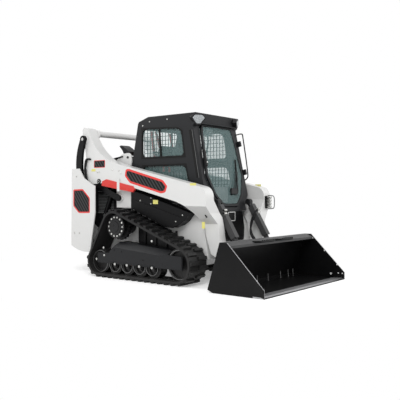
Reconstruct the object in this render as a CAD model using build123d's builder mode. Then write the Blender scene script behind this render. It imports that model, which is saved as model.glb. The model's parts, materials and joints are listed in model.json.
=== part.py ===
"""Compact track loader with a vertical-lift arm, rubber tracks and a dirt bucket.

Millimetres.  +X is the machine's front, +Y its left, +Z up, and z = 0 is the ground.
The origin lies on the ground under the middle of the overall length.
"""
import math
import os

from build123d import *

os.makedirs("parts", exist_ok=True)

# ---------------------------------------------------------------- driving dimensions
# Pins of the lift linkage and its cylinders, seen from the side as (x, z)
REAR_LINK_FOOT = (-1220, 1050)
REAR_LINK_TOP = (-1262, 1804)
ARM_LINK_PIN = (-1172, 1235)
CONTROL_LINK_FOOT = (-655, 1018)
LIFT_BARREL_PIN = (-1150, 420)
LIFT_ROD_PIN = (-700, 1380)
BUCKET_PIN = (1000, 270)
TILT_BARREL_PIN = (700, 970)
TILT_ROD_PIN = (1044, 392)

# Undercarriage
TRACK_INNER, TRACK_OUTER = 520, 840
LUG_HEIGHT = 25
BELT_THICKNESS = 28
LUGS_PER_ROW = 40
TRACK_WHEELS = (
    # centre (x, z), reach out to the tips of the lugs
    ((-580, 655), 225),
    ((460, 245), 245),
    ((-865, 205), 205),
)
SPROCKET, FRONT_IDLER, REAR_IDLER = TRACK_WHEELS
BELT_DEPTH = LUG_HEIGHT + BELT_THICKNESS
ROLLER_X = (-604, -383, -162, 59)
ROLLER_Z, ROLLER_R = 158.5, 105
BAY_INNER, BAY_OUTER = 605, 772
FRAME_INNER, FRAME_OUTER = 560, 790
SPROCKET_TEETH = 19

# Chassis and rear towers
CHASSIS_HALF = 500
PLATE = 15
TOWER_INNER, TOWER_OUTER = 515, 760
REAR_FACE = -1740

# Cab
CAB_HALF = 450
CAB_WALL = 40
GLASS = 6
DOOR_TILT = 13.0
DOOR_FOOT = (655, 860)

# Lift arm
ARM_INNER, ARM_OUTER = 540, 690
SLOT_INNER, SLOT_OUTER = 553, 675
LEG_INNER, LEG_OUTER = 395, 505

# Bucket
BUCKET_HALF = 940
BUCKET_WALL = 10
BUCKET_SLOPE = math.degrees(math.atan2(173, 553))


def side_plane(distance):
    """Plane across the machine's right side; it extrudes further to the right."""
    return Plane.XZ.offset(distance)


def save(builder, name):
    """Label one finished piece and write it."""
    builder.part.label = name
    export_step(builder.part, f"parts/{name}.step")


def save_pair(right, stem):
    """Write a right-hand piece and its mirror image on the left as two nodes."""
    save(right, f"{stem}_right")
    with BuildPart() as left:
        mirror(right.part, about=Plane.XZ)
    save(left, f"{stem}_left")


def save_both(right, name):
    """Write a right-hand piece and its mirror image as one node."""
    with BuildPart() as both:
        add(right.part)
        mirror(right.part, about=Plane.XZ)
    save(both, name)


def span(start, end):
    """Length, and angle in degrees, of the line from one (x, z) point to another."""
    dx, dz = end[0] - start[0], end[1] - start[1]
    return math.hypot(dx, dz), math.degrees(math.atan2(dz, dx))


def cylinder_across(centre, radius, inner, outer, mode=Mode.ADD):
    """Cylinder across the right side at an (x, z) centre between two distances."""
    with BuildSketch(side_plane(inner)) as disc:
        with Locations(centre):
            Circle(radius)
    extrude(disc.sketch, amount=outer - inner, mode=mode)


def plate_across(points, inner, outer, mode=Mode.ADD):
    """Flat plate on the right side from an (x, z) outline between two distances."""
    with BuildSketch(side_plane(inner)) as outline:
        with BuildLine():
            Polyline(*points, close=True)
        make_face()
    extrude(outline.sketch, amount=outer - inner, mode=mode)


# ---------------------------------------------------------------- tracks
def hull_edges(inset):
    """Circles of the sprocket and idlers whose hull is the track's loop."""
    return [
        Edge.make_circle(reach - inset, Plane((centre[0], centre[1], 0)))
        for centre, reach in TRACK_WHEELS
    ]


def lug_row(phase, inner, outer):
    """One row of tapered lugs round the outside of the belt."""
    loop = Wire.make_convex_hull(hull_edges(LUG_HEIGHT))
    middle = loop.center()
    with BuildSketch(side_plane(inner)) as row:
        for lug in range(LUGS_PER_ROW):
            station = ((lug + phase) / LUGS_PER_ROW) % 1
            foot = loop.position_at(station)
            way = loop.tangent_at(station)
            turn = math.degrees(math.atan2(way.Y, way.X))
            if way.cross(foot - middle).Z < 0:
                turn += 180
            with Locations(Location((foot.X, foot.Y, 0), (0, 0, turn))):
                Polygon((-25, -4), (25, -4), (17, LUG_HEIGHT), (-17, LUG_HEIGHT), align=None)
    extrude(row.sketch, amount=outer - inner)


with BuildPart() as track:
    with BuildSketch(side_plane(TRACK_INNER)):
        make_hull(hull_edges(LUG_HEIGHT))
        make_hull(hull_edges(BELT_DEPTH), mode=Mode.SUBTRACT)
    extrude(amount=TRACK_OUTER - TRACK_INNER)
    lug_row(0.0, TRACK_INNER + 6, TRACK_INNER + 154)
    lug_row(0.5, TRACK_OUTER - 154, TRACK_OUTER - 6)
save_pair(track, "track")

# The roller frame: a box with a bay for each roller and idler, sloped along its top
with BuildPart() as track_frame:
    plate_across(
        (
            (-907, 183),
            (530, 183),
            (530, 392),
            (160, 408),
            (-560, 462),
            (-700, 315),
            (-907, 315),
        ),
        FRAME_INNER,
        FRAME_OUTER,
    )
    ridge = track_frame.edges().filter_by(
        lambda edge: edge.center().Z > 390 and edge.center().Y < -FRAME_OUTER + 1
    ).filter_by(lambda edge: -600 < edge.center().X < 400)
    chamfer(ridge, 70)
    for roller_x in ROLLER_X:
        cylinder_across((roller_x, ROLLER_Z), ROLLER_R + 6, BAY_INNER, BAY_OUTER, Mode.SUBTRACT)
        cylinder_across((roller_x, ROLLER_Z), 52, BAY_OUTER, FRAME_OUTER, Mode.SUBTRACT)
    for centre, reach in (FRONT_IDLER, REAR_IDLER):
        cylinder_across(centre, reach - BELT_DEPTH + 6, BAY_INNER, BAY_OUTER, Mode.SUBTRACT)
save_pair(track_frame, "track_frame")


def guide_wheel(centre, radius, rim):
    """Flanged wheel on an axle that fills its bay from wall to wall."""
    middle = (BAY_INNER + BAY_OUTER) / 2
    cylinder_across(centre, radius, middle - 60, middle + 60)
    cylinder_across(centre, radius - rim, middle + 38, middle + 60, Mode.SUBTRACT)
    cylinder_across(centre, radius - rim, middle - 60, middle - 38, Mode.SUBTRACT)
    cylinder_across(centre, 34, middle - 70, middle + 70)
    cylinder_across(centre, 22, BAY_INNER, BAY_OUTER)


with BuildPart() as rollers:
    for roller_x in ROLLER_X:
        guide_wheel((roller_x, ROLLER_Z), ROLLER_R, 26)
save_pair(rollers, "rollers")

with BuildPart() as idlers:
    for centre, reach in (FRONT_IDLER, REAR_IDLER):
        guide_wheel(centre, reach - BELT_DEPTH - 0.5, 34)
save_pair(idlers, "idlers")

# The drive sprocket: a toothed ring bolted to the drive motor's hub
SPROCKET_TIP = SPROCKET[1] - BELT_DEPTH - 0.5
with BuildPart() as sprocket:
    cylinder_across(SPROCKET[0], SPROCKET_TIP, 660, 700)
    with BuildSketch(side_plane(660)):
        with Locations(SPROCKET[0]):
            with PolarLocations(SPROCKET_TIP + 3, SPROCKET_TEETH):
                Circle(17)
            with PolarLocations(128, SPROCKET_TEETH):
                Circle(6)
    extrude(amount=40, mode=Mode.SUBTRACT)
    cylinder_across(SPROCKET[0], 100, 640, 715)
    cylinder_across(SPROCKET[0], 80, 715, 780)
    fillet(sprocket.faces().sort_by(Axis.Y)[0].edges(), 12)
    cylinder_across(SPROCKET[0], 36, 770, 780, Mode.SUBTRACT)
    cylinder_across(SPROCKET[0], 92, CHASSIS_HALF, 640)
save_pair(sprocket, "sprocket")

# Axles that carry the roller frame from the chassis
with BuildPart() as suspension:
    for axle in ((-760, 345), (60, 330)):
        cylinder_across(axle, 48, CHASSIS_HALF, FRAME_INNER)
save_both(suspension, "suspension_axles")


# ---------------------------------------------------------------- chassis
TUB_OUTLINE = (
    (-1440, 350),
    (-1250, 215),
    (560, 215),
    (690, 300),
    (640, 590),
    (622, 700),
    (543, 842),
    (-560, 1130),
    (-560, 1000),
    (-1440, 900),
)

with BuildPart() as chassis:
    plate_across(TUB_OUTLINE, 0, CHASSIS_HALF)
    with BuildSketch(side_plane(0)):
        with BuildLine():
            Polyline(*TUB_OUTLINE, close=True)
        make_face()
        offset(amount=-PLATE, kind=Kind.INTERSECTION, mode=Mode.REPLACE)
    extrude(amount=CHASSIS_HALF - PLATE, mode=Mode.SUBTRACT)
    # open at the top for the cab and at the back for the engine
    with BuildSketch(side_plane(0)):
        with BuildLine():
            Polyline(
                (-1460, 400), (-1425, 400), (-1425, 800), (560, 800),
                (612, 700), (660, 700), (660, 1200), (-1460, 1200), close=True,
            )
        make_face()
    extrude(amount=CHASSIS_HALF - PLATE, mode=Mode.SUBTRACT)
    mirror(chassis.part, about=Plane.XZ)
save(chassis, "chassis_tub")

# A rear tower: outer and inner plates with a web behind and a floor below
TOWER_OUTLINE = (
    (-1451, 1410),
    (-1300, 1410),
    (-1207, 1280),
    (-1068, 1205),
    (-990, 1175),
    (-990, 820),
    (-1091, 300),
    (-1210, 300),
    (-1352, 325),
    (-1466, 373),
)
with BuildPart() as tower:
    plate_across(TOWER_OUTLINE, TOWER_INNER, TOWER_OUTER)
    with BuildSketch(side_plane(TOWER_INNER + PLATE)):
        with BuildLine():
            Polyline(
                (-1434, 1500), (-1250, 1500), (-900, 1180), (-900, 350), (-1090, 320),
                (-1205, 320), (-1345, 345), (-1448, 388), close=True,
            )
        make_face()
    extrude(amount=TOWER_OUTER - TOWER_INNER - 2 * PLATE, mode=Mode.SUBTRACT)
    # ties the tower to the tub
    plate_across(
        ((-1430, 420), (-1150, 420), (-1150, 860), (-1430, 860)), CHASSIS_HALF, TOWER_INNER
    )
    # bosses that hold the pins of the rear link and the lift cylinder
    cylinder_across(REAR_LINK_FOOT, 42, TOWER_OUTER - PLATE - 7, TOWER_OUTER - PLATE)
    cylinder_across(LIFT_BARREL_PIN, 38, TOWER_INNER + PLATE, 555)
save_pair(tower, "rear_tower")

# The plate over the track that carries the control link, and its tie to the tub
with BuildPart() as link_bracket:
    plate_across(
        ((-730, 895), (-470, 895), (-470, 1140), (-600, 1170), (-730, 1120)), 600, 615
    )
    plate_across(((-600, 905), (-470, 905), (-470, 1080), (-600, 1080)), CHASSIS_HALF, 600)
    cylinder_across(CONTROL_LINK_FOOT, 50, 615, 637)
save_pair(link_bracket, "link_bracket")

# The black side panel under the arm, a deep pan with a pressed band along it
with BuildPart() as side_panel:
    plate_across(
        (
            (-465, 1125), (505, 848), (415, 748), (330, 695), (225, 660),
            (110, 665), (-306, 830), (-465, 890),
        ),
        CHASSIS_HALF,
        620,
    )
    plate_across(((-440, 1010), (380, 790), (380, 775), (-440, 995)), 614, 620, Mode.SUBTRACT)
save_pair(side_panel, "side_panel")

with BuildPart() as engine:
    with Locations((-1010, 0, 800)):
        Box(620, 560, 640)
    with Locations((-1010, 0, 1010)):
        Box(520, 760, 220)
save(engine, "engine")


# ---------------------------------------------------------------- tailgate and lid
with BuildPart() as tailgate:
    with BuildSketch(Plane.XY.offset(470)):
        with BuildLine():
            Polyline((-1530, 495), (-1640, 495), (-1715, 430), (-1715, -430), (-1640, -495), (-1530, -495), close=True)
        make_face()
    extrude(amount=920)
    with BuildSketch(Plane.XY.offset(490)):
        with BuildLine():
            Polyline((-1530, 470), (-1630, 470), (-1700, 415), (-1700, -415), (-1630, -470), (-1530, -470), close=True)
        make_face()
    extrude(amount=880, mode=Mode.SUBTRACT)
    with BuildSketch(Plane.YZ.offset(-1740)):
        with Locations((0, 1150)):
            with GridLocations(0, 36, 1, 8):
                RectangleRounded(620, 18, 8)
    extrude(amount=60, mode=Mode.SUBTRACT)
save(tailgate, "tailgate")

with BuildPart() as bumper:
    with BuildSketch(Plane.XY.offset(300)):
        with BuildLine():
            Polyline((-1470, 530), (-1640, 530), (REAR_FACE, 430), (REAR_FACE, -430), (-1640, -530), (-1470, -530), close=True)
        make_face()
    extrude(amount=150)
    chamfer(bumper.edges().filter_by(GeomType.LINE).group_by(Axis.Z)[0].sort_by(Axis.X)[:1], 60)
save(bumper, "rear_bumper")

with BuildPart() as tail_lamps:
    with Locations((-1721, 380, 700)):
        Box(12, 60, 180)
save_both(tail_lamps, "tail_lamps")

with BuildPart() as engine_lid:
    plate_across(((-1460, 1425), (-760, 1560), (-760, 1575), (-1000, 1540), (-1460, 1450)), 0, 480)
    mirror(engine_lid.part, about=Plane.XZ)
save(engine_lid, "engine_lid")


# ---------------------------------------------------------------- cab
CAB_OUTLINE = (
    (-640, 960),
    (-615, 1451),
    (-505, 1981),
    (-487, 2005),
    (-326, 2058),
    (455, 2058),
    (440, 1925),
    (413, 1905),
    (655, 860),
    (480, 860),
    (460, 960),
)


def inset_outline(points, distance, plane, depth, mode):
    """Extrude an outline moved inwards by a distance."""
    with BuildSketch(plane) as inset:
        with BuildLine():
            Polyline(*points, close=True)
        make_face()
        offset(amount=-distance, kind=Kind.INTERSECTION, mode=Mode.REPLACE)
    extrude(inset.sketch, amount=depth, mode=mode)


def door_plane(out):
    """Plane of the door, leaning back, moved outwards; x runs to the left, y up it."""
    lean = math.radians(DOOR_TILT)
    return Plane(
        origin=(DOOR_FOOT[0] + out * math.cos(lean), 0, DOOR_FOOT[1] + out * math.sin(lean)),
        x_dir=(0, 1, 0),
        z_dir=(math.cos(lean), 0, math.sin(lean)),
    )


DOOR_OUTLINE = (
    # half width, height up the door's plane
    (150, 55),
    (290, 190),
    (385, 430),
    (385, 480),
    (330, 1040),
    (300, 1095),
)


def door_face(inset, out):
    """Face of the door's outline moved inwards, on the door's plane moved outwards."""
    right_side = [(-half, height) for half, height in reversed(DOOR_OUTLINE)]
    with BuildSketch(door_plane(out)) as face:
        with BuildLine():
            Polyline(*DOOR_OUTLINE, *right_side, close=True)
        make_face()
        offset(amount=-inset, kind=Kind.INTERSECTION, mode=Mode.REPLACE)
    return face.sketch


SIDE_WINDOWS = (
    # outline (x, z) of each opening in the cab's side
    ((-445, 1520), (-445, 1925), (175, 1900), (245, 1860), (300, 1520)),
    ((-430, 1150), (-430, 1445), (310, 1445), (380, 1150)),
)

with BuildPart() as cab:
    plate_across(CAB_OUTLINE, -CAB_HALF, CAB_HALF)
    inset_outline(
        CAB_OUTLINE, CAB_WALL, side_plane(CAB_WALL - CAB_HALF), 2 * (CAB_HALF - CAB_WALL), Mode.SUBTRACT
    )
    for window in SIDE_WINDOWS:
        plate_across(window, -CAB_HALF, CAB_HALF, Mode.SUBTRACT)
    extrude(door_face(-6, -120), amount=200, mode=Mode.SUBTRACT)
    with BuildSketch(Plane.YZ.offset(-700)):
        with Locations((0, 1700)):
            RectangleRounded(700, 420, 40)
    extrude(amount=300, mode=Mode.SUBTRACT)
    # the lower front corners clear the knees of the arm
    with BuildSketch(Plane.YZ.offset(480)):
        with BuildLine():
            Polyline((350, 850), (350, 930), (460, 1080), (460, 850), close=True)
        make_face()
        mirror(about=Plane.YZ)
    extrude(amount=220, mode=Mode.SUBTRACT)
save(cab, "cab_frame")

with BuildPart() as front_panel:
    with BuildSketch(Plane.YZ.offset(650)):
        with BuildLine():
            Polyline((-235, 560), (235, 560), (215, 855), (-215, 855), close=True)
        make_face()
    extrude(amount=18)
save(front_panel, "front_panel")

with BuildPart() as side_glass:
    for window in SIDE_WINDOWS:
        inset_outline(window, 0.5, side_plane(CAB_HALF - 22), GLASS, Mode.ADD)
save_both(side_glass, "side_glass")

with BuildPart() as door:
    extrude(door_face(0, 0), amount=26)
    extrude(door_face(38, 0), amount=26, mode=Mode.SUBTRACT)
save(door, "door_frame")

with BuildPart() as door_glass:
    extrude(door_face(38, 10), amount=GLASS)
save(door_glass, "door_glass")

with BuildPart() as seat:
    with Locations((-120, 0, 1230)):
        Box(460, 460, 120)
    with Locations(Location((-370, 0, 1480), (0, -12, 0))):
        Box(110, 440, 520)
    fillet(seat.edges().filter_by(Axis.Y).group_by(Axis.Z)[0], 25)
save(seat, "seat")

with BuildPart() as seat_base:
    with Locations((-120, 0, 1085)):
        Box(380, 380, 170)
save(seat_base, "seat_base")


# ---------------------------------------------------------------- lift arm
with BuildPart() as arm:
    with BuildSketch(side_plane(LEG_INNER)):
        with BuildLine():
            Polyline((-1285, 1965), (-1205, 1950))
            ThreePointArc((-1205, 1950), (-1075, 1722), (-811, 1510))
            Polyline((-811, 1510), (-587, 1444), (690, 1164))
            ThreePointArc((690, 1164), (768, 1122), (800, 1040))
            Polyline(
                (800, 1040), (803, 850), (840, 700), (866, 520), (1026, 310), (1043, 270),
                (1026, 230), (985, 230), (730, 370), (655, 590), (640, 700), (560, 850),
                (472, 935), (348, 981), (-624, 1213), (-755, 1247), (-888, 1215),
                (-1172, 1195), (-1215, 1235), (-1235, 1523), (-1255, 1660), (-1310, 1760),
                (-1312, 1930), (-1285, 1965),
            )
        make_face()
    extrude(amount=ARM_OUTER - LEG_INNER)
    with BuildSketch(Plane.YZ.offset(-1400)):
        with BuildLine():
            Polyline(
                (-ARM_OUTER, 2100), (-ARM_OUTER, 930), (-LEG_OUTER, 720), (-LEG_OUTER, 100),
                (-LEG_INNER, 100), (-LEG_INNER, 800), (-ARM_INNER, 1000), (-ARM_INNER, 2100),
                close=True,
            )
        make_face()
    extrude(amount=2600, mode=Mode.INTERSECT)
    plate_across(
        ((-640, 1120), (-640, 1440), (-730, 1476), (-1000, 1500), (-1130, 1560), (-1225, 1560), (-1300, 1120)),
        SLOT_INNER,
        SLOT_OUTER,
        Mode.SUBTRACT,
    )
    cylinder_across(REAR_LINK_TOP, 50, ARM_OUTER, ARM_OUTER + 5)
    cylinder_across(ARM_LINK_PIN, 44, ARM_OUTER, ARM_OUTER + 4)
save_pair(arm, "arm")

with BuildPart() as cross_tube:
    cylinder_across((-1190, 1884), 38, -ARM_INNER, ARM_INNER)
save(cross_tube, "arm_cross_tube")

with BuildPart() as leg_tube:
    cylinder_across((880, 440), 40, -LEG_INNER, LEG_INNER)
save(leg_tube, "leg_cross_tube")

with BuildPart() as rear_link:
    with BuildSketch(side_plane(700)):
        with BuildLine():
            foot, top = REAR_LINK_FOOT, REAR_LINK_TOP
            ThreePointArc((foot[0] - 48, foot[1]), (-1395, 1480), (top[0] - 50, top[1]))
            ThreePointArc((top[0] - 50, top[1]), (top[0], top[1] + 50), (top[0] + 50, top[1]))
            ThreePointArc((top[0] + 50, top[1]), (-1280, 1500), (foot[0] + 48, foot[1]))
            ThreePointArc((foot[0] + 48, foot[1]), (foot[0], foot[1] - 48), (foot[0] - 48, foot[1]))
        make_face()
    extrude(amount=35)
save_both(rear_link, "rear_links")


def bar_between(start, end, width, inner, outer, mode=Mode.ADD):
    """Flat bar with round ends from one (x, z) pin to another."""
    length, turn = span(start, end)
    middle = ((start[0] + end[0]) / 2, (start[1] + end[1]) / 2)
    with BuildSketch(side_plane(inner)) as bar:
        with Locations(Location((middle[0], middle[1], 0), (0, 0, turn))):
            SlotCenterToCenter(length, width)
    extrude(bar.sketch, amount=outer - inner, mode=mode)


with BuildPart() as control_link:
    bar_between(CONTROL_LINK_FOOT, ARM_LINK_PIN, 76, 640, 670)
save_both(control_link, "control_links")


def along(start, end, centre, distance):
    """Plane across the line between two (x, z) pins, part of the way along it."""
    length, turn = span(start, end)
    way = math.radians(turn)
    return Plane(
        origin=(
            start[0] + distance * math.cos(way),
            -centre,
            start[1] + distance * math.sin(way),
        ),
        x_dir=(0, 1, 0),
        z_dir=(math.cos(way), 0, math.sin(way)),
    )


def rod_and_barrel(name, foot, head, centre, barrel_r, rod_r, closed, inside):
    """Hydraulic cylinder between two pins: its barrel and its rod as two nodes.

    closed is the barrel's length from its pin, and inside the rod's length within it.
    """
    length, _ = span(foot, head)
    bore_depth = inside + 60
    with BuildPart() as barrel:
        with BuildSketch(along(foot, head, centre, 0)) as wall:
            Circle(barrel_r)
        extrude(wall.sketch, amount=closed)
        with BuildSketch(along(foot, head, centre, closed - bore_depth)) as bore:
            Circle(rod_r + 0.05)
        extrude(bore.sketch, amount=bore_depth, mode=Mode.SUBTRACT)
        cylinder_across(foot, barrel_r + 6, centre - barrel_r + 2, centre + barrel_r - 2)
    save_both(barrel, f"{name}_barrels")
    with BuildPart() as rod:
        with BuildSketch(along(foot, head, centre, closed - inside)) as shaft:
            Circle(rod_r)
        extrude(shaft.sketch, amount=length - closed + inside)
        cylinder_across(head, rod_r + 12, centre - rod_r - 4, centre + rod_r + 4)
    save_both(rod, f"{name}_rods")


rod_and_barrel("lift", LIFT_BARREL_PIN, LIFT_ROD_PIN, 590, 32, 19, 960, 800)
rod_and_barrel("tilt", TILT_BARREL_PIN, TILT_ROD_PIN, 340, 32, 16, 540, 380)


# ---------------------------------------------------------------- bucket and coupler
def back_x(height, gap=0):
    """x of the bucket's back at a height, less a gap."""
    return 1003 + 173 / 553 * height - gap


with BuildPart() as coupler:
    plate_across(
        (
            (back_x(110, 30), 110), (back_x(110, 6), 110), (back_x(500, 6), 500), (back_x(500, 30), 500),
        ),
        0,
        560,
    )
    for inner, outer in ((512, 530), (370, 388)):
        plate_across(
            ((BUCKET_PIN[0] - 40, 230), (back_x(110, 30), 110), (back_x(440, 30), 440), (BUCKET_PIN[0] - 40, 310)),
            inner,
            outer,
        )
    for inner, outer in ((292, 306), (374, 388)):
        plate_across(
            ((1010, 420), (1010, 365), (back_x(330, 30), 330), (back_x(470, 30), 470)), inner, outer
        )
    plate_across(((1000, 300), (1200, 300), (1200, 520), (1000, 520)), 306, 374, Mode.SUBTRACT)
    mirror(coupler.part, about=Plane.XZ)
save(coupler, "coupler")

with BuildPart() as bucket:
    plate_across(
        ((1085, 0), (1740, 0), (1740, 90), (1273, 553), (1176, 553), (1012, 30)), -BUCKET_HALF, BUCKET_HALF
    )
    plate_across(
        ((1090, BUCKET_WALL), (1800, BUCKET_WALL), (1800, 600), (1200, 600), (1024, 36)),
        BUCKET_WALL - BUCKET_HALF,
        BUCKET_HALF - BUCKET_WALL,
        Mode.SUBTRACT,
    )
save(bucket, "bucket")
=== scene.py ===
"""Looks of the compact track loader: its finishes and its small fittings round the frame.

Metres.  +X is the machine's front, +Y its left, +Z up, and z = 0 is the ground.
"""
import sys
import json
import logging
import math
from dataclasses import dataclass, field, replace
from enum import Enum
from typing import Any, Sequence

import bmesh
import bpy
from mathutils import Matrix, Vector


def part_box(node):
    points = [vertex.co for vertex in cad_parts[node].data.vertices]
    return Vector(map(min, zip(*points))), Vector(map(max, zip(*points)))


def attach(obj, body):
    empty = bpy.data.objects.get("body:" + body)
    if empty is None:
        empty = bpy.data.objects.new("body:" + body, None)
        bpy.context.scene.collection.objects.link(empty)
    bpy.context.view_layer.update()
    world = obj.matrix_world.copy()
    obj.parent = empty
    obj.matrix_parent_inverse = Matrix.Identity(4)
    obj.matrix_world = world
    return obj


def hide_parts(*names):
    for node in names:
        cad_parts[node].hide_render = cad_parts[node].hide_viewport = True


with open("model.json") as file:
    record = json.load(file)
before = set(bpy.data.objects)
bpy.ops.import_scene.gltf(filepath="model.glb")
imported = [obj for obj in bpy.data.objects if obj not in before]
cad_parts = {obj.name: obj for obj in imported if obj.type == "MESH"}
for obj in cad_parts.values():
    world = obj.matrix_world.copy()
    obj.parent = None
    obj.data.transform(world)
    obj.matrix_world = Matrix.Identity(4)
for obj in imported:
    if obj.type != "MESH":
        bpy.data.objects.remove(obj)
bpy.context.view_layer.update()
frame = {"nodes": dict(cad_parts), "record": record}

Point = Sequence[float]
Points = Sequence[Point]
Color = tuple[float, float, float]
Box = tuple[float, float, float, float]

X, Y, Z = Vector((1, 0, 0)), Vector((0, 1, 0)), Vector((0, 0, 1))
FINE_EDGE = 0.0015

log = logging.getLogger("loader")


# ---------------------------------------------------------------- shader expressions
class Signal:
    """An output socket that shader expressions are written with."""

    def __init__(self, graph: "Graph", socket: bpy.types.NodeSocket) -> None:
        """Keeps the socket and the graph that it belongs to."""
        self.graph = graph
        self.socket = socket

    def _math(self, operation: str, *values: "Signal | float") -> "Signal":
        """Adds one Math node.

        Args:
            operation: the node's operation.
            values: its inputs, in order.

        Returns:
            The node's output.
        """
        inputs = dict(enumerate(values))
        return self.graph.node("ShaderNodeMath", {"operation": operation}, inputs)

    def __add__(self, other: "Signal | float") -> "Signal":
        """The sum of both."""
        return self._math("ADD", self, other)

    __radd__ = __add__

    def __sub__(self, other: "Signal | float") -> "Signal":
        """This less the other."""
        return self._math("SUBTRACT", self, other)

    def __rsub__(self, other: float) -> "Signal":
        """The number less this."""
        return self._math("SUBTRACT", other, self)

    def __mul__(self, other: "Signal | float") -> "Signal":
        """The product of both."""
        return self._math("MULTIPLY", self, other)

    __rmul__ = __mul__

    def __truediv__(self, other: "Signal | float") -> "Signal":
        """This divided by the other."""
        return self._math("DIVIDE", self, other)

    def __rtruediv__(self, other: float) -> "Signal":
        """The number divided by this."""
        return self._math("DIVIDE", other, self)

    def __pow__(self, other: "Signal | float") -> "Signal":
        """This to a power."""
        return self._math("POWER", self, other)
    def fraction(self) -> "Signal":
        """What is left after the whole number."""
        return self._math("FRACT", self)

    def at_most(self, other: "Signal | float") -> "Signal":
        """The lesser of both."""
        return self._math("MINIMUM", self, other)

    def at_least(self, other: "Signal | float") -> "Signal":
        """The greater of both."""
        return self._math("MAXIMUM", self, other)

    def step(self, low: float, high: float) -> "Signal":
        """A smooth rise from 0 to 1.

        Args:
            low: where it starts.
            high: where it ends.

        Returns:
            The rise's value.
        """
        settings = {"interpolation_type": "SMOOTHSTEP"}
        inputs = {"Value": self, "From Min": low, "From Max": high}
        return self.graph.node("ShaderNodeMapRange", settings, inputs)


class Graph:
    """The node tree of one material or of the world."""

    def __init__(self, tree: bpy.types.NodeTree) -> None:
        """Empties the tree and keeps it."""
        self.tree = tree
        tree.nodes.clear()

    def node(
        self,
        kind: str,
        settings: dict[str, Any] | None = None,
        inputs: dict[str | int, Any] | None = None,
        output: str | int = 0,
    ) -> Signal:
        """Adds one node of any kind.

        Args:
            kind: the node's type.
            settings: its settings, and "stops" for a ramp's stops.
            inputs: values or signals by the socket's name or number.
            output: the name or number of the socket that is returned.

        Returns:
            The chosen output, or the node itself behind an empty output.
        """
        made = self.tree.nodes.new(kind)
        for key, value in (settings or {}).items():
            if key == "stops":
                self._stops(made, value)
            else:
                setattr(made, key, value)
        for key, value in (inputs or {}).items():
            self.feed(made.inputs[key], value)
        return Signal(self, made.outputs[output]) if made.outputs else Signal(self, None)

    @staticmethod
    def _stops(ramp: bpy.types.Node, stops: Sequence[tuple[float, Color]]) -> None:
        """Gives a colour ramp its stops.

        Args:
            ramp: the ramp's node.
            stops: each stop's place and colour.
        """
        elements = ramp.color_ramp.elements
        while len(elements) < len(stops):
            elements.new(1.0)
        for element, (place, color) in zip(elements, stops):
            element.position = place
            element.color = (*color, 1.0)

    def feed(self, socket: bpy.types.NodeSocket, value: Any) -> None:
        """Links a signal to an input, or sets a constant on it.

        Args:
            socket: the input.
            value: a signal, a number, a colour or a vector.
        """
        if isinstance(value, Signal):
            self.tree.links.new(value.socket, socket)
        elif socket.type == "RGBA" and len(value) == 3:
            socket.default_value = (*value, 1.0)
        else:
            socket.default_value = value

    def place(self) -> Signal:
        """The point of the surface in the machine's own frame."""
        return self.node("ShaderNodeTexCoord", output="Object")

    def axis(self, name: str) -> Signal:
        """One coordinate of that point, by the letter X, Y or Z."""
        return self.node("ShaderNodeSeparateXYZ", inputs={0: self.place()}, output=name)

    def stretched(self, scale: Point) -> Signal:
        """The point with each axis scaled."""
        settings = {"operation": "MULTIPLY"}
        return self.node("ShaderNodeVectorMath", settings, {0: self.place(), 1: scale})

    def noise(self, scale: float, detail: float = 3.0, vector: Signal | None = None) -> Signal:
        """Smooth noise from 0 to 1.

        Args:
            scale: how fine it is, in waves to the metre.
            detail: how many finer layers it has.
            vector: where it is read, or the surface's own point.

        Returns:
            The noise's value.
        """
        inputs = {"Vector": vector or self.place(), "Scale": scale, "Detail": detail}
        return self.node("ShaderNodeTexNoise", None, inputs)

    def mix(self, share: Signal | float, low: Signal | Color, high: Signal | Color) -> Signal:
        """A colour between two.

        Args:
            share: 0 for the low colour, 1 for the high one.
            low: the first colour.
            high: the second colour.

        Returns:
            The mixed colour.
        """
        return self.node("ShaderNodeMix", {"data_type": "RGBA"}, {0: share, 6: low, 7: high}, 2)

    def bump(self, height: Signal, depth: float) -> Signal:
        """A normal that height raises, with depth in metres."""
        inputs = {"Height": height, "Distance": depth, "Strength": 1.0}
        return self.node("ShaderNodeBump", None, inputs)


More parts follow.
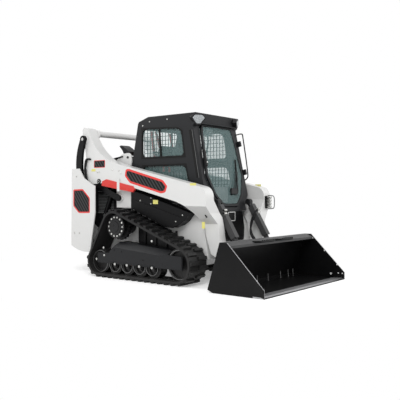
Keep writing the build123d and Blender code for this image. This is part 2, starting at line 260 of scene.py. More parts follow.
# ---------------------------------------------------------------- finishes
@dataclass(frozen=True)
class Finish:
    """A surface's own look, which every piece of one material slot shares."""

    slot: str
    color: Color
    roughness: float = 0.5
    metallic: float = 0.0
    grain: float = 400.0
    depth: float = 0.0001
    mottle: float = 0.06
    dust: float = 0.0
    coat: float = 0.0
    specular: float = 0.5

    def dress(self, graph: Graph) -> dict[str, Any]:
        """The inputs of the surface's shader.

        Args:
            graph: the material's graph.

        Returns:
            Values or signals by the names of the shader's sockets.
        """
        cloud = graph.noise(CLOUDS, 4.0)
        fine = graph.noise(self.grain, 2.0)
        dark = tuple(c * (1.0 - self.mottle) for c in self.color)
        light = tuple(min(1.0, c * (1.0 + self.mottle)) for c in self.color)
        color = graph.mix(cloud, dark, light)
        rough = self.roughness + 0.12 * (graph.noise(SMUDGES, 5.0) - 0.5)
        if self.dust:
            low = 1.0 - graph.axis("Z").step(*DUST_HEIGHTS)
            film = (low * graph.noise(FILM, 6.0) * self.dust).at_most(1.0)
            color = graph.mix(film, color, DUST)
            rough = rough + 0.25 * film
        return {
            "Base Color": color,
            "Roughness": rough,
            "Metallic": self.metallic,
            "Coat Weight": self.coat,
            "Specular IOR Level": self.specular,
            "Normal": graph.bump(fine, self.depth),
        }

    def material(self) -> bpy.types.Material:
        """Makes the finish's material once, and then shares it.

        Returns:
            The material.
        """
        name = f"{self.slot}_{type(self).__name__.lower()}"
        made = bpy.data.materials.get(name)
        if made is None:
            made = bpy.data.materials.new(name)
            made.use_nodes = True
            graph = Graph(made.node_tree)
            shader = graph.node("ShaderNodeBsdfPrincipled", None, self.dress(graph))
            graph.node("ShaderNodeOutputMaterial", None, {"Surface": shader})
        return made


@dataclass(frozen=True)
class Steel(Finish):
    """Bare steel with drawn scratches along one axis."""

    along: tuple[float, float, float] = (40.0, 900.0, 900.0)

    def dress(self, graph: Graph) -> dict[str, Any]:
        """The common inputs with scratches in the roughness and the relief.

        Args:
            graph: the material's graph.

        Returns:
            Values or signals by the names of the shader's sockets.
        """
        inputs = super().dress(graph)
        scratch = graph.noise(1.0, 3.0, graph.stretched(self.along))
        inputs["Roughness"] = self.roughness + 0.3 * (scratch - 0.5)
        inputs["Normal"] = graph.bump(scratch, self.depth)
        return inputs


@dataclass(frozen=True)
class Glass(Finish):
    """Tinted pane that shows what is behind it."""

    alpha: float = 0.35

    def dress(self, graph: Graph) -> dict[str, Any]:
        """A clear glossy film with a faint haze.

        Args:
            graph: the material's graph.

        Returns:
            Values or signals by the names of the shader's sockets.
        """
        haze = graph.noise(3.0, 4.0)
        return {
            "Base Color": self.color,
            "Roughness": self.roughness + 0.03 * haze,
            "Alpha": self.alpha + 0.05 * haze,
            "Specular IOR Level": self.specular,
        }


@dataclass(frozen=True)
class Striped(Finish):
    """A plain black decal film with grey slanting stripes."""

    pitch: float = 0.052
    share: float = 0.5
    stripe: Color = (0.045, 0.045, 0.047)

    def dress(self, graph: Graph) -> dict[str, Any]:
        """The common inputs with stripes in the colour.

        Args:
            graph: the material's graph.

        Returns:
            Values or signals by the names of the shader's sockets.
        """
        inputs = super().dress(graph)
        slant = (graph.axis("X") + graph.axis("Z") * 0.8) / self.pitch
        band = slant.fraction()
        mask = band.step(0.0, 0.06) * (1.0 - band.step(self.share, self.share + 0.06))
        inputs["Base Color"] = graph.mix(mask, inputs["Base Color"], self.stripe)
        return inputs


@dataclass(frozen=True)
class Label(Finish):
    """A blank printed label."""

    def dress(self, graph: Graph) -> dict[str, Any]:
        """The common inputs with faded patches.

        Args:
            graph: the material's graph.

        Returns:
            Values or signals by the names of the shader's sockets.
        """
        inputs = super().dress(graph)
        fade = graph.noise(60.0, 3.0)
        inputs["Base Color"] = graph.mix(fade * 0.3, self.color, (0.8, 0.78, 0.6))
        return inputs


DUST: Color = (0.3, 0.28, 0.25)
# the heights between which the dust fades out
DUST_HEIGHTS = (0.05, 0.9)
# waves to the metre of the paint's clouds, of the smudges in its gloss and of the dust's film
CLOUDS, SMUDGES, FILM = 2.6, 14.0, 9.0

FINISHES: dict[str, Finish] = {
    finish.slot: finish
    for finish in (
        Finish("white_paint", (0.688, 0.688, 0.679), 0.34, depth=0.00004, mottle=0.015, coat=0.25),
        Finish("charcoal_paint", (0.014, 0.0145, 0.016), 0.42, 0.0, 700.0, 0.00012, specular=0.2),
        Finish(
            "black_paint", (0.0025, 0.0025, 0.003), 0.34, depth=0.00008, dust=0.015, specular=0.16
        ),
        Finish(
            "track_rubber", (0.008, 0.008, 0.0085), 0.55, 0, 260.0, 0.0004, dust=0.05, specular=0.3
        ),
        Finish(
            "dark_steel", (0.014, 0.014, 0.015), 0.42, 0.3, 220.0, 0.0003, dust=0.06, specular=0.3
        ),
        Steel("chrome_rod", (0.8, 0.8, 0.82), 0.12, 1.0, depth=0.00001),
        Glass("tinted_glass", (0.24, 0.36, 0.36), 0.03, alpha=0.2),
        Finish("red_lens", (0.5, 0.02, 0.02), 0.15, coat=0.6),
        Finish("engine_metal", (0.06, 0.062, 0.065), 0.5, 0.4, 180.0, 0.0004),
        Finish("black_plastic", (0.008, 0.008, 0.009), 0.45, 0.0, 900.0, 0.0001, specular=0.25),
        Finish("seat_vinyl", (0.01, 0.01, 0.011), 0.46, 0.0, 600.0, 0.0003, specular=0.35),
    )
}
ZINC = Finish("zinc_bolt", (0.58, 0.58, 0.56), 0.34, 0.85, 500.0, 0.00006, mottle=0.12)
GREY_PLASTIC = Finish("grey_plastic", (0.16, 0.165, 0.165), 0.6, 0.0, 900.0, 0.0001)
RED_WEBBING = Finish("belt_red", (0.6, 0.03, 0.02), 0.6, 0.0, 900.0, 0.0002)


class Look(Enum):
    """A piece's slot in the record, and its finish where that isn't the slot's own."""

    WHITE = ("white_paint", None)
    CHARCOAL = ("charcoal_paint", None)
    BLACK = ("black_paint", None)
    STEEL = ("dark_steel", None)
    PLASTIC = ("black_plastic", None)
    GLASS = ("tinted_glass", None)
    VINYL = ("seat_vinyl", None)
    BOLT = ("dark_steel", ZINC)
    BRIGHT = ("chrome_rod", ZINC)
    LOUVRE = ("engine_metal", GREY_PLASTIC)
    BRIGHT_LINE = ("chrome_rod", GREY_PLASTIC)
    CONSOLE = ("black_plastic", GREY_PLASTIC)
    GREY_BAR = ("dark_steel", GREY_PLASTIC)
    BELT = ("red_lens", RED_WEBBING)
    BRACE_SLOT = ("black_paint", RED_WEBBING)
    BRACE = ("red_lens", Finish("brace_red", (0.62, 0.035, 0.028), 0.5, 0.0, 500.0, 0.0001))
    RED_FILM = (
        "red_lens",
        Finish("red_film", (0.72, 0.028, 0.022), 0.3, depth=0.00001, mottle=0.03, coat=0.3),
    )
    STRIPES = (
        "black_paint",
        Striped("stripe_film", (0.004, 0.004, 0.004), 0.35, depth=0.00001, specular=0.15),
    )
    LABEL = ("white_paint", Label("yellow_label", (0.72, 0.66, 0.12), 0.4, depth=0.00001))
    SEAL = (
        "black_plastic",
        Finish("rubber_seal", (0.005, 0.005, 0.005), 0.6, depth=0.0001, specular=0.2),
    )
    HOSE = (
        "black_plastic",
        Finish("hose_cover", (0.007, 0.007, 0.008), 0.5, 0.0, 900.0, 0.0002, specular=0.2),
    )
    SCREEN = (
        "black_plastic",
        Finish("display_glass", (0.01, 0.03, 0.034), 0.1, depth=0.00001, coat=0.8),
    )
    LENS = (
        "tinted_glass",
        Finish("bright_lens", (0.3, 0.32, 0.33), 0.18, 0.6, 90.0, 0.004, mottle=0.3, coat=1.0),
    )
    RIM = ("dark_steel", Finish("worn_rim", (0.16, 0.16, 0.16), 0.35, 0.6, 300.0, 0.0001))
    GUARD = (
        "dark_steel",
        Finish("guard_grey", (0.05, 0.05, 0.051), 0.46, depth=0.00008, specular=0.3),
    )
    WHITE_CAST = ("chrome_rod", Finish("white_cast", (0.78, 0.78, 0.77), 0.4, 0.0, 300.0, 0.0001))
    CUT_EDGE = ("chrome_rod", Steel("cutting_edge", (0.42, 0.42, 0.43), 0.38, 0.9, depth=0.0001))

    @property
    def slot(self) -> str:
        """The record's slot."""
        return self.value[0]

    def material(self) -> bpy.types.Material:
        """The finish's own material, or the slot's."""
        return (self.value[1] or FINISHES[self.slot]).material()


# ---------------------------------------------------------------- shapes
class Body(Enum):
    """The moving bodies of the machine that pieces ride on."""

    CHASSIS = "chassis"
    ARMS = "lift_arms"
    BUCKET = "bucket"
    DOOR = "cab_door"
    GATE = "tailgate"
    LID = "engine_lid"
    TILT_BARRELS = "tilt_barrels"
    REAR_LINKS = "rear_links"


@dataclass(frozen=True)
class Face:
    """A flat side of the machine with axes of its own."""

    origin: Vector
    right: Vector
    up: Vector
    out: Vector

    def at(self, u: float, v: float, off: float = 0.0) -> Vector:
        """The point u to the right, v up and off away from the face."""
        return self.origin + u * self.right + v * self.up + off * self.out


def side_face(y: float) -> Face:
    """The side at y, which looks away from the middle, with u as x and v as z."""
    return Face(y * Y, X, Z, math.copysign(1, y) * Y)


def cross_face(x: float, sign: float = 1.0) -> Face:
    """The face at x towards the front, or the back for -1, with u as y and v as z."""
    return Face(x * X, Y, Z, sign * X)


def level_face(z: float) -> Face:
    """The level face at z that looks up, with u as x and v as y."""
    return Face(z * Z, X, Y, Z)


# a hair beside the middle, so that a wide piece's ends aren't level with the frame's own sides
MIDDLE = side_face(-1e-6)


class Side(Enum):
    """The machine's two sides, by the sign of y."""

    RIGHT = -1
    LEFT = 1

    def face(self, y: float) -> Face:
        """This side's face at y from the middle, which looks outwards."""
        return side_face(self.value * y)

    def inner_face(self, y: float) -> Face:
        """This side's face at y from the middle, which looks inwards."""
        return Face(self.value * y * Y, X, Z, -self.value * Y)

    def outside(self, node: str) -> Face:
        """The outermost face of this side's node of a pair."""
        low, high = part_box(self.named(node))
        return self.face(high[1] if self is Side.LEFT else -low[1])

    def named(self, name: str) -> str:
        """This side's name of a piece or a node."""
        return f"{name}_{self.name.lower()}"

    def route(self, points: Points) -> list[Point]:
        """A route that is given for the left side, on this side."""
        return [(x, self.value * y, z) for x, y, z in points]


def mirrored(*routes: Points) -> list[list[Point]]:
    """Routes that are given for the left side, on both sides."""
    return [side.route(route) for side in Side for route in routes]


def corners(box: Box, radius: float = 0.0) -> list[Point]:
    """The corners of a box.

    Args:
        box: its left, bottom, right and top.
        radius: how far from each corner its curve starts, or 0 for sharp corners.

    Returns:
        The corners or the rounded outline.
    """
    left, bottom, right, top = box
    outline = [(left, bottom), (right, bottom), (right, top), (left, top)]
    return rounded(outline, radius) if radius else outline


def spread(low: float, high: float, runs: int) -> list[float]:
    """The ends of equal runs between two values."""
    return [low + n * (high - low) / runs for n in range(runs + 1)]


def ring(radius: float, sides: int, center: Point = (0.0, 0.0), turn: float = 0.0) -> list[Point]:
    """Points round a circle.

    Args:
        radius: the circle's radius.
        sides: how many points.
        center: its middle.
        turn: the first point's angle in radians.

    Returns:
        The points, as (u, v) pairs.
    """
    steps = [turn + math.tau * n / sides for n in range(sides)]
    return [(center[0] + radius * math.cos(a), center[1] + radius * math.sin(a)) for a in steps]


def rounded(points: Points, radius: float, steps: int = 4) -> list[Point]:
    """An outline with its corners rounded.

    Args:
        points: the outline's corners, as (u, v) pairs.
        radius: how far from each corner its curve starts.
        steps: how many runs each curve has.

    Returns:
        The new outline.
    """
    smooth = []
    for n, corner in enumerate(points):
        here = Vector(corner)
        before = Vector(points[n - 1]) - here
        after = Vector(points[(n + 1) % len(points)]) - here
        start = here + before.normalized() * min(radius, 0.49 * before.length)
        end = here + after.normalized() * min(radius, 0.49 * after.length)
        for step in range(steps + 1):
            t = step / steps
            smooth.append(tuple((1 - t) ** 2 * start + 2 * t * (1 - t) * here + t * t * end))
    return smooth


def grown(points: Points, amount: float) -> list[Point]:
    """An outline with each of its sides moved outwards.

    Args:
        points: the outline's corners, as (u, v) pairs.
        amount: how far they move, or below 0 for inwards.

    Returns:
        The new outline.
    """
    spots = [Vector(point) for point in points]
    area = sum(a.x * b.y - a.y * b.x for a, b in zip(spots, spots[1:] + spots[:1]))
    moved = []
    for n, here in enumerate(spots):
        before = (here - spots[n - 1]).normalized()
        after = (spots[(n + 1) % len(spots)] - here).normalized()
        out = Vector((before.y + after.y, -before.x - after.x)) * math.copysign(1, area)
        out.normalize()
        lean = abs(out.x * before.y - out.y * before.x)
        moved.append(tuple(here + out * amount / max(lean, 0.4)))
    return moved


class Shape:
    """A mesh that is built up from solids, in metres and in the machine's frame."""

    def __init__(self) -> None:
        """Starts with nothing."""
        self.mesh = bmesh.new()

    def loft(self, rows: Sequence[Sequence[Vector]], closed: bool = False) -> None:
        """Skins rings of points.

        Args:
            rows: the rings, each with as many points.
            closed: whether the last ring joins the first, or both are capped.
        """
        rings = [[self.mesh.verts.new(point) for point in row] for row in rows]
        pairs = list(zip(rings, rings[1:]))
        if closed:
            pairs.append((rings[-1], rings[0]))
        for low, high in pairs:
            for n in range(len(low)):
                after = (n + 1) % len(low)
                self.mesh.faces.new((low[n], low[after], high[after], high[n]))
        if not closed:
            self.mesh.faces.new(rings[0])
            self.mesh.faces.new(rings[-1])

    def pad(self, top: Sequence[Sequence[Vector]], under: Sequence[Sequence[Vector]]) -> None:
        """Skins a pad from two grids of points, and joins them round their rims.

        Args:
            top: the rows of its upper side.
            under: the rows of its lower side.
        """
        grids = [[[self.mesh.verts.new(p) for p in row] for row in grid] for grid in (top, under)]
        for grid in grids:
            for low, high in zip(grid, grid[1:]):
                for n in range(len(low) - 1):
                    self.mesh.faces.new((low[n], low[n + 1], high[n + 1], high[n]))
        rims = []
        for grid in grids:
            sides = [row[-1] for row in grid[1:-1]], [row[0] for row in reversed(grid[1:-1])]
            rims.append([*grid[0], *sides[0], *reversed(grid[-1]), *sides[1]])
        for n, corner in enumerate(rims[0]):
            self.mesh.faces.new((corner, rims[0][n - 1], rims[1][n - 1], rims[1][n]))

    def plate(
        self, face: Face, outline: Points, low: float, high: float, slope: float = 0.0
    ) -> "Shape":
        """Adds a plate on a face.

        Args:
            face: the face that it lies on.
            outline: its outline, as (u, v) pairs.
            low: how far off the face it starts.
            high: how far off the face it ends.
            slope: how much smaller its far side is.

        Returns:
            This shape.
        """
        far = grown(outline, -slope) if slope else outline
        self.loft([[face.at(u, v, low) for u, v in outline], [face.at(u, v, high) for u, v in far]])
        return self

    def blocks(self, face: Face, boxes: Sequence[Box], low: float, high: float) -> "Shape":
        """Adds blocks on a face.

        Args:
            face: the face that they stand on.
            boxes: the left, bottom, right and top of each.
            low: how far off the face they start.
            high: how far off the face they end.

        Returns:
            This shape.
        """
        for box in boxes:
            self.plate(face, corners(box), low, high)
        return self

    def between(
        self, face: Face, outer: Points, inner: Points, low: float, high: float
    ) -> "Shape":
        """Adds a flat frame between two outlines with as many points.

        Args:
            face: the face that it lies on.
            outer: its outer outline, as (u, v) pairs.
            inner: its inner outline.
            low: how far off the face it starts.
            high: how far off the face it ends.

        Returns:
            This shape.
        """
        turns = ((outer, high), (inner, high), (inner, low), (outer, low))
        rows = [[face.at(u, v, off) for u, v in outline] for outline, off in turns]
        self.loft(rows, closed=True)
        return self

    def frame(
        self, face: Face, outline: Points, width: float, low: float, high: float
    ) -> "Shape":
        """Adds a flat frame inside an outline, width wide, between two heights."""
        return self.between(face, outline, grown(outline, -width), low, high)

    def turned(
        self,
        face: Face,
        places: Points,
        profile: Points,
        sides: int,
        turn: float = 0.0,
    ) -> "Shape":
        """Adds a solid turned about an axis off a face at each place.

        Args:
            face: the face that they stand on.
            places: their axes, as (u, v) pairs.
            profile: their (radius, height) pairs from the foot to the top.
            sides: how many sides each has.
            turn: their turn in radians.

        Returns:
            This shape.
        """
        for at in places:
            rows = []
            for radius, height in profile:
                rows.append([face.at(u, v, height) for u, v in ring(radius, sides, at, turn)])
            self.loft(rows)
        return self

    def bolts(self, face: Face, places: Points, size: float) -> "Shape":
        """Adds hexagonal bolt heads on washers.

        Args:
            face: the face that they stand on.
            places: their middles, as (u, v) pairs.
            size: the radius of a head.

        Returns:
            This shape.
        """
        washer = ((1.45 * size, 0.0), (1.45 * size, 0.22 * size), (1.3 * size, 0.3 * size))
        head = ((size, 0.3 * size), (size, 0.85 * size), (0.82 * size, size))
        for at in places:
            self.turned(face, [at], washer, 18)
            self.turned(face, [at], head, 6, turn=at[0] * 40)
        return self

    def pins(self, face: Face, places: Points, radius: float, height: float) -> "Shape":
        """Adds round pin ends with a chamfer and a dimple.

        Args:
            face: the face that they stand on.
            places: their middles, as (u, v) pairs.
            radius: their radius.
            height: how far they stand out.

        Returns:
            This shape.
        """
        profile = (
            (radius, 0.0),
            (radius, 0.8 * height),
            (0.88 * radius, height),
            (0.35 * radius, height),
            (0.28 * radius, 0.75 * height),
        )
        return self.turned(face, places, profile, 28)


def added(name: str, data: bpy.types.ID) -> bpy.types.Object:
    """A new object of the scene with its data.

    Args:
        name: the object's name.
        data: its mesh, curve, lamp or camera.

    Returns:
        The object.
    """
    made = bpy.data.objects.new(name, data)
    bpy.context.scene.collection.objects.link(made)
    return made


@dataclass(frozen=True)
class Maker:
    """Turns shapes into named pieces, which ride on one body unless told otherwise."""

    prefix: str
    body: Body
    side: str = ""

    def sides(self) -> list[tuple[Side, "Maker"]]:
        """Each side, with a maker that adds the side to its pieces' names."""
        return [(side, replace(self, side=f"_{side.name.lower()}")) for side in Side]

    def settle(
        self, name: str, data: bpy.types.ID, look: Look, body: Body | None
    ) -> bpy.types.Object:
        """Puts a mesh or a curve into the scene as a piece.

        Args:
            name: the piece's own name, between the maker's prefix and its side.
            data: its mesh or curve.
            look: what it is made of.
            body: the body that it rides on, or the maker's own.

        Returns:
            The piece.
        """
        data.name = f"{self.prefix}_{name}{self.side}"
        data.materials.append(look.material())
        made = added(data.name, data)
        rides_on = (body or self.body).value
        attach(made, rides_on)
        look.slot
        log.info("piece %s rides on %s", made.name, rides_on)
        return made

    def piece(
        self,
        name: str,
        shape: Shape,
        look: Look,
        edge: float = 0.0,
        body: Body | None = None,
        replaces: Sequence[str] = (),
        smooth: bool = False,
    ) -> bpy.types.Object:
        """Makes one piece from a shape.

        Args:
            name: the piece's own name, between the maker's prefix and its side.
            shape: its shape, which is used up.
            look: what it is made of.
            edge: the width of its rounded edges, or 0 for sharp ones.
            body: the body that it rides on, or the maker's own.
            replaces: the frame's nodes that it stands for.
            smooth: whether its sides are shaded as curves.

        Returns:
            The piece.
        """
        bmesh.ops.recalc_face_normals(shape.mesh, faces=shape.mesh.faces)
        mesh = bpy.data.meshes.new(name)
        shape.mesh.to_mesh(mesh)
        shape.mesh.free()
        if smooth:
            mesh.shade_smooth()
        made = self.settle(name, mesh, look, body)
        if edge:
            round_edges(made, edge)
        for node in replaces:
            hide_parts(node)
        return made

    def lines(
        self,
        name: str,
        routes: Sequence[Points],
        radius: float,
        look: Look,
        body: Body | None = None,
    ) -> None:
        """Makes one piece of round lines that are held at both ends, such as hoses or bars.

        Args:
            name: the piece's own name, between the maker's prefix and its side.
            routes: the control points of each line.
            radius: the radius of the lines.
            look: what they are made of.
            body: the body that they ride on, or the maker's own.
        """
        curve = bpy.data.curves.new(name, "CURVE")
        curve.dimensions = "3D"
        curve.bevel_depth = radius
        curve.bevel_resolution = 3
        curve.resolution_u = 8
        curve.use_fill_caps = True
        for route in routes:
            spline = curve.splines.new("NURBS")
            spline.points.add(len(route) - 1)
            for point, place in zip(spline.points, route):
                point.co = (*place, 1.0)
            spline.order_u = 3
            spline.use_endpoint_u = True
        self.settle(name, curve, look, body)


def round_edges(piece: bpy.types.Object, width: float, weld: float = 0.0) -> None:
    """Rounds a piece's sharp edges.

    Args:
        piece: the piece.
        width: how wide the rounding is.
        weld: how near to each other points are joined first, or 0 to join none.
    """
    if weld:
        joined = piece.modifiers.new("weld", "WELD")
        joined.merge_threshold = weld
    bevel = piece.modifiers.new("edges", "BEVEL")
    bevel.width = width
    bevel.segments = 2
    bevel.limit_method = "ANGLE"
    bevel.angle_limit = math.radians(35)
    bevel.harden_normals = False
    turned = piece.modifiers.new("normals", "WEIGHTED_NORMAL")
    turned.keep_sharp = True


# ---------------------------------------------------------------- studio
@dataclass
class Studio:
    """Camera, lamps, world and floor, which aren't part of the machine."""

    azimuth: float = 38.369
    elevation: float = 0.66
    camera_at: tuple[float, float, float] = (5.0554, -6.1729, 1.0831)
    lens: float = 54.825
    world_strength: float = 0.62
    floor_half: float = 60.0
    shadow_reach: Point = (2.6, 1.9)
    fade: Point = (0.75, 1.35)
    lamps: tuple[tuple[str, Point, Point, float, float], ...] = (
        ("key", (4.0, -6.0, 6.0), (0.0, 0.0, 0.8), 4.0, 330.0),
        ("fill", (6.0, 3.0, 4.0), (0.3, 0.0, 0.8), 4.0, 140.0),
        ("back", (-5.0, -3.0, 5.0), (-0.5, 0.0, 1.0), 3.5, 120.0),
    )

    def camera(self) -> None:
        """Places the camera and makes it the scene's."""
        turn = math.radians(self.azimuth)
        rise = math.radians(self.elevation)
        forward = Vector(
            (-math.sin(turn) * math.cos(rise), math.cos(turn) * math.cos(rise), -math.sin(rise))
        )
        data = bpy.data.cameras.new("camera")
        data.lens = self.lens
        data.sensor_width = 36.0
        data.clip_end = 300.0
        camera = added("camera", data)
        camera.location = self.camera_at
        camera.rotation_euler = forward.to_track_quat("-Z", "Y").to_euler()
        bpy.context.scene.camera = camera

    def lamp(self, name: str, at: Point, aim: Point, size: float, power: float) -> None:
        """Hangs one square area lamp.

        Args:
            name: the lamp's name.
            at: where it hangs.
            aim: the point that it faces.
            size: the length of its side.
            power: its power in watts.
        """
        data = bpy.data.lights.new(name, "AREA")
        data.size = size
        data.energy = power
        lamp = added(name, data)
        lamp.location = at
        way = Vector(aim) - Vector(at)
        lamp.rotation_euler = way.to_track_quat("-Z", "Y").to_euler()

    def seen(self, graph: Graph) -> Signal:
        """Finds the rays that should meet the white backdrop.

        Args:
            graph: the graph of the world or the floor.

        Returns:
            1 for such a ray, or else 0.
        """
        rays = [
            graph.node("ShaderNodeLightPath", output=name)
            for name in ("Is Camera Ray", "Is Glossy Ray", "Is Transmission Ray")
        ]
        return rays[0].at_least(rays[1]).at_least(rays[2])

    def world(self) -> None:
        """White where it is seen, and a plain level of light elsewhere."""
        world = bpy.data.worlds.new("studio")
        world.use_nodes = True
        bpy.context.scene.world = world
        graph = Graph(world.node_tree)
        white = graph.node("ShaderNodeBackground", None, {"Color": (1, 1, 1), "Strength": 1.0})
        plain = graph.node(
            "ShaderNodeBackground", None, {"Color": (1, 1, 1), "Strength": self.world_strength}
        )
        both = graph.node("ShaderNodeMixShader", None, {0: self.seen(graph), 1: plain, 2: white})
        graph.node("ShaderNodeOutputWorld", None, {"Surface": both})

    def floor(self) -> None:
        """A pale floor that keeps the machine's shadow."""
        half = self.floor_half
        mesh = bpy.data.meshes.new("floor")
        square = [(-half, -half, 0), (half, -half, 0), (half, half, 0), (-half, half, 0)]
        mesh.from_pydata(square, [], [(0, 1, 2, 3)])
        floor = added("floor", mesh)
        material = bpy.data.materials.new("studio_floor")
        material.use_nodes = True
        graph = Graph(material.node_tree)
        across = graph.axis("X") / self.shadow_reach[0]
        along = graph.axis("Y") / self.shadow_reach[1]
        near = 1.0 - ((across * across + along * along) ** 0.5).step(*self.fade)
        matte = graph.node("ShaderNodeBsdfDiffuse", None, {"Color": (0.86, 0.86, 0.86)})
        glow = graph.node("ShaderNodeEmission", None, {"Color": (1, 1, 1), "Strength": 0.3})
        white = graph.node("ShaderNodeEmission", None, {"Color": (1, 1, 1), "Strength": 1.0})
        lit = graph.node("ShaderNodeAddShader", None, {0: matte, 1: glow})
        faded = graph.node("ShaderNodeMixShader", None, {0: near, 1: white, 2: lit})
        both = graph.node("ShaderNodeMixShader", None, {0: self.seen(graph), 1: matte, 2: faded})
        graph.node("ShaderNodeOutputMaterial", None, {"Surface": both})
        mesh.materials.append(material)

    def build(self) -> None:
        """Everything round the machine."""
        bpy.context.scene.view_settings.view_transform = "Standard"
        self.camera()
        self.world()
        self.floor()
        for lamp in self.lamps:
            self.lamp(*lamp)


# ---------------------------------------------------------------- the frame's own pieces
@dataclass
class FramePieces:
    """The nodes of the frame that show as they are, with their finishes."""

    slots: dict[str, str] = field(default_factory=dict)
    plain: tuple[str, ...] = ("lift_rods", "tilt_rods", "seat")
    edge: float = 0.003
    weld: float = 0.00005

    def read_slots(self) -> None:
        """Notes each node's material slot from the frame's record."""
        for part in frame["record"]["subparts"]:
            self.slots[part["node"]] = part["material_slot"]

    def dress(self) -> None:
        """Gives each node the finish of its slot."""
        self.read_slots()
        for name, piece in frame["nodes"].items():
            finish = FINISHES[self.slots[name]]
            piece.data.materials.clear()
            piece.data.materials.append(finish.material())
            if name not in self.plain:
                round_edges(piece, self.edge, self.weld)
            log.info("node %s: %s", name, finish.slot)


# ---------------------------------------------------------------- arms, towers and side panels
@dataclass
class Panels:
    """Films, labels and bolts that lie on a flat skin of each side."""

    maker: Maker
    skin: float
    bolts: Points
    bolt_size: float
    decals: tuple[tuple[list[Point], float], ...] = ()
    labels: tuple[Box, ...] = ()
    label_name: str = "labels"
    film: float = 0.0007

    def build(self) -> None:
        """Everything on both skins."""
        for side, make in self.maker.sides():
            face = side.face(self.skin)
            red, dark = Shape(), Shape()
            for outline, border in self.decals:
                red.plate(face, outline, 0.0, self.film)
                dark.plate(face, grown(outline, -border), self.film, 2 * self.film)
            if self.decals:
                make.piece("red_film", red, Look.RED_FILM)
                make.piece("striped_film", dark, Look.STRIPES)
            if self.labels:
                labels = Shape().blocks(face, self.labels, 0.0, self.film)
                make.piece(self.label_name, labels, Look.LABEL)
            make.piece("bolts", Shape().bolts(face, self.bolts, self.bolt_size), Look.BOLT)


ARM_DECAL = (
    (-0.488, 1.383), (-0.506, 1.3), (-0.417, 1.21), (0.11, 1.077),
    (0.182, 1.089), (0.215, 1.167), (0.142, 1.24), (-0.434, 1.388),
)
TOWER_DECAL = (
    (-1.421, 1.13), (-1.227, 1.136), (-1.088, 1.017),
    (-1.089, 0.818), (-1.309, 0.813), (-1.422, 0.906),
)


@dataclass
class ArmTrim(Panels):
    """Films, labels and bolts on the lift arms."""

    maker: Maker = Maker("arm", Body.ARMS)
    skin: float = 0.69
    bolts: Points = (
        (-0.736, 1.383), (-0.612, 1.367), (-0.577, 1.334), (-1.018, 1.356), (-0.981, 1.359),
    )
    bolt_size: float = 0.008
    decals: tuple[tuple[list[Point], float], ...] = (
        (rounded(ARM_DECAL, 0.02), 0.026),
        (corners((-1.084, 1.416, -0.871, 1.515), 0.012), 0.008),
    )
    labels: tuple[Box, ...] = ((-1.134, 1.37, -1.055, 1.402), (0.566, 1.17, 0.656, 1.198))


@dataclass
class TowerTrim(Panels):
    """Films and bolts on the rear towers."""

    maker: Maker = Maker("tower", Body.CHASSIS)
    skin: float = 0.76
    bolts: Points = ((-1.356, 1.305), (-1.398, 0.545), (-1.299, 0.546))
    bolt_size: float = 0.009
    decals: tuple[tuple[list[Point], float], ...] = ((rounded(TOWER_DECAL, 0.02), 0.018),)


@dataclass
class SideTrim(Panels):
    """Bolts and labels on the side panels, and louvres behind them on sheets of painted shade."""

    maker: Maker = Maker("side", Body.CHASSIS)
    skin: float = 0.62
    bolts: Points = (
        (-0.303, 0.987), (-0.118, 1.02), (-0.118, 0.949), (0.288, 0.74), (0.392, 0.818),
    )
    bolt_size: float = 0.006
    labels: tuple[Box, ...] = ((-0.083, 0.947, 0.0, 0.997),)
    label_name: str = "label"
    louvres: Box = (-1.158, 0.824, -0.864, 1.096)
    louvre_face: float = 0.5305
    pitch: float = 0.02
    rim: float = 0.012
    # outline of the black sheet behind the louvres: painted shade where the tower's inner edge and
    # the openings lie in shadow
    backing: Points = (
        (-1.3, 0.7), (-1.3, 1.2), (-1.075, 1.185), (-0.735, 1.16), (-0.735, 0.6), (-1.05, 0.52),
    )

    def louvre_panels(self) -> None:
        """Builds the ribbed air inlets behind the side openings, each on a black sheet of painted
        shade.
        """
        left, bottom, right, top = self.louvres
        feet = [bottom + n * self.pitch for n in range(int((top - bottom) / self.pitch))]
        slats = [(left, foot, right, foot + 0.45 * self.pitch) for foot in feet]
        start, end = left - self.rim, right + self.rim
        rims = ((start, bottom - self.rim, end, bottom), (start, top, end, top + self.rim))
        for side, make in self.maker.sides():
            face = side.face(self.louvre_face)
            panel = Shape().blocks(face, slats, 0.0, 0.014).blocks(face, rims, 0.0, 0.016)
            make.piece("louvres", panel, Look.LOUVRE, 0.001)
            # a black sheet of painted shade behind the louvres, where the tower's inner edge lies
            # in shadow
            backing = Shape().plate(face, rounded(self.backing, 0.02), -0.014, 0.002)
            make.piece("backing", backing, Look.PLASTIC)

    def build(self) -> None:
        """Everything on and behind both side panels."""
        super().build()
        self.louvre_panels()


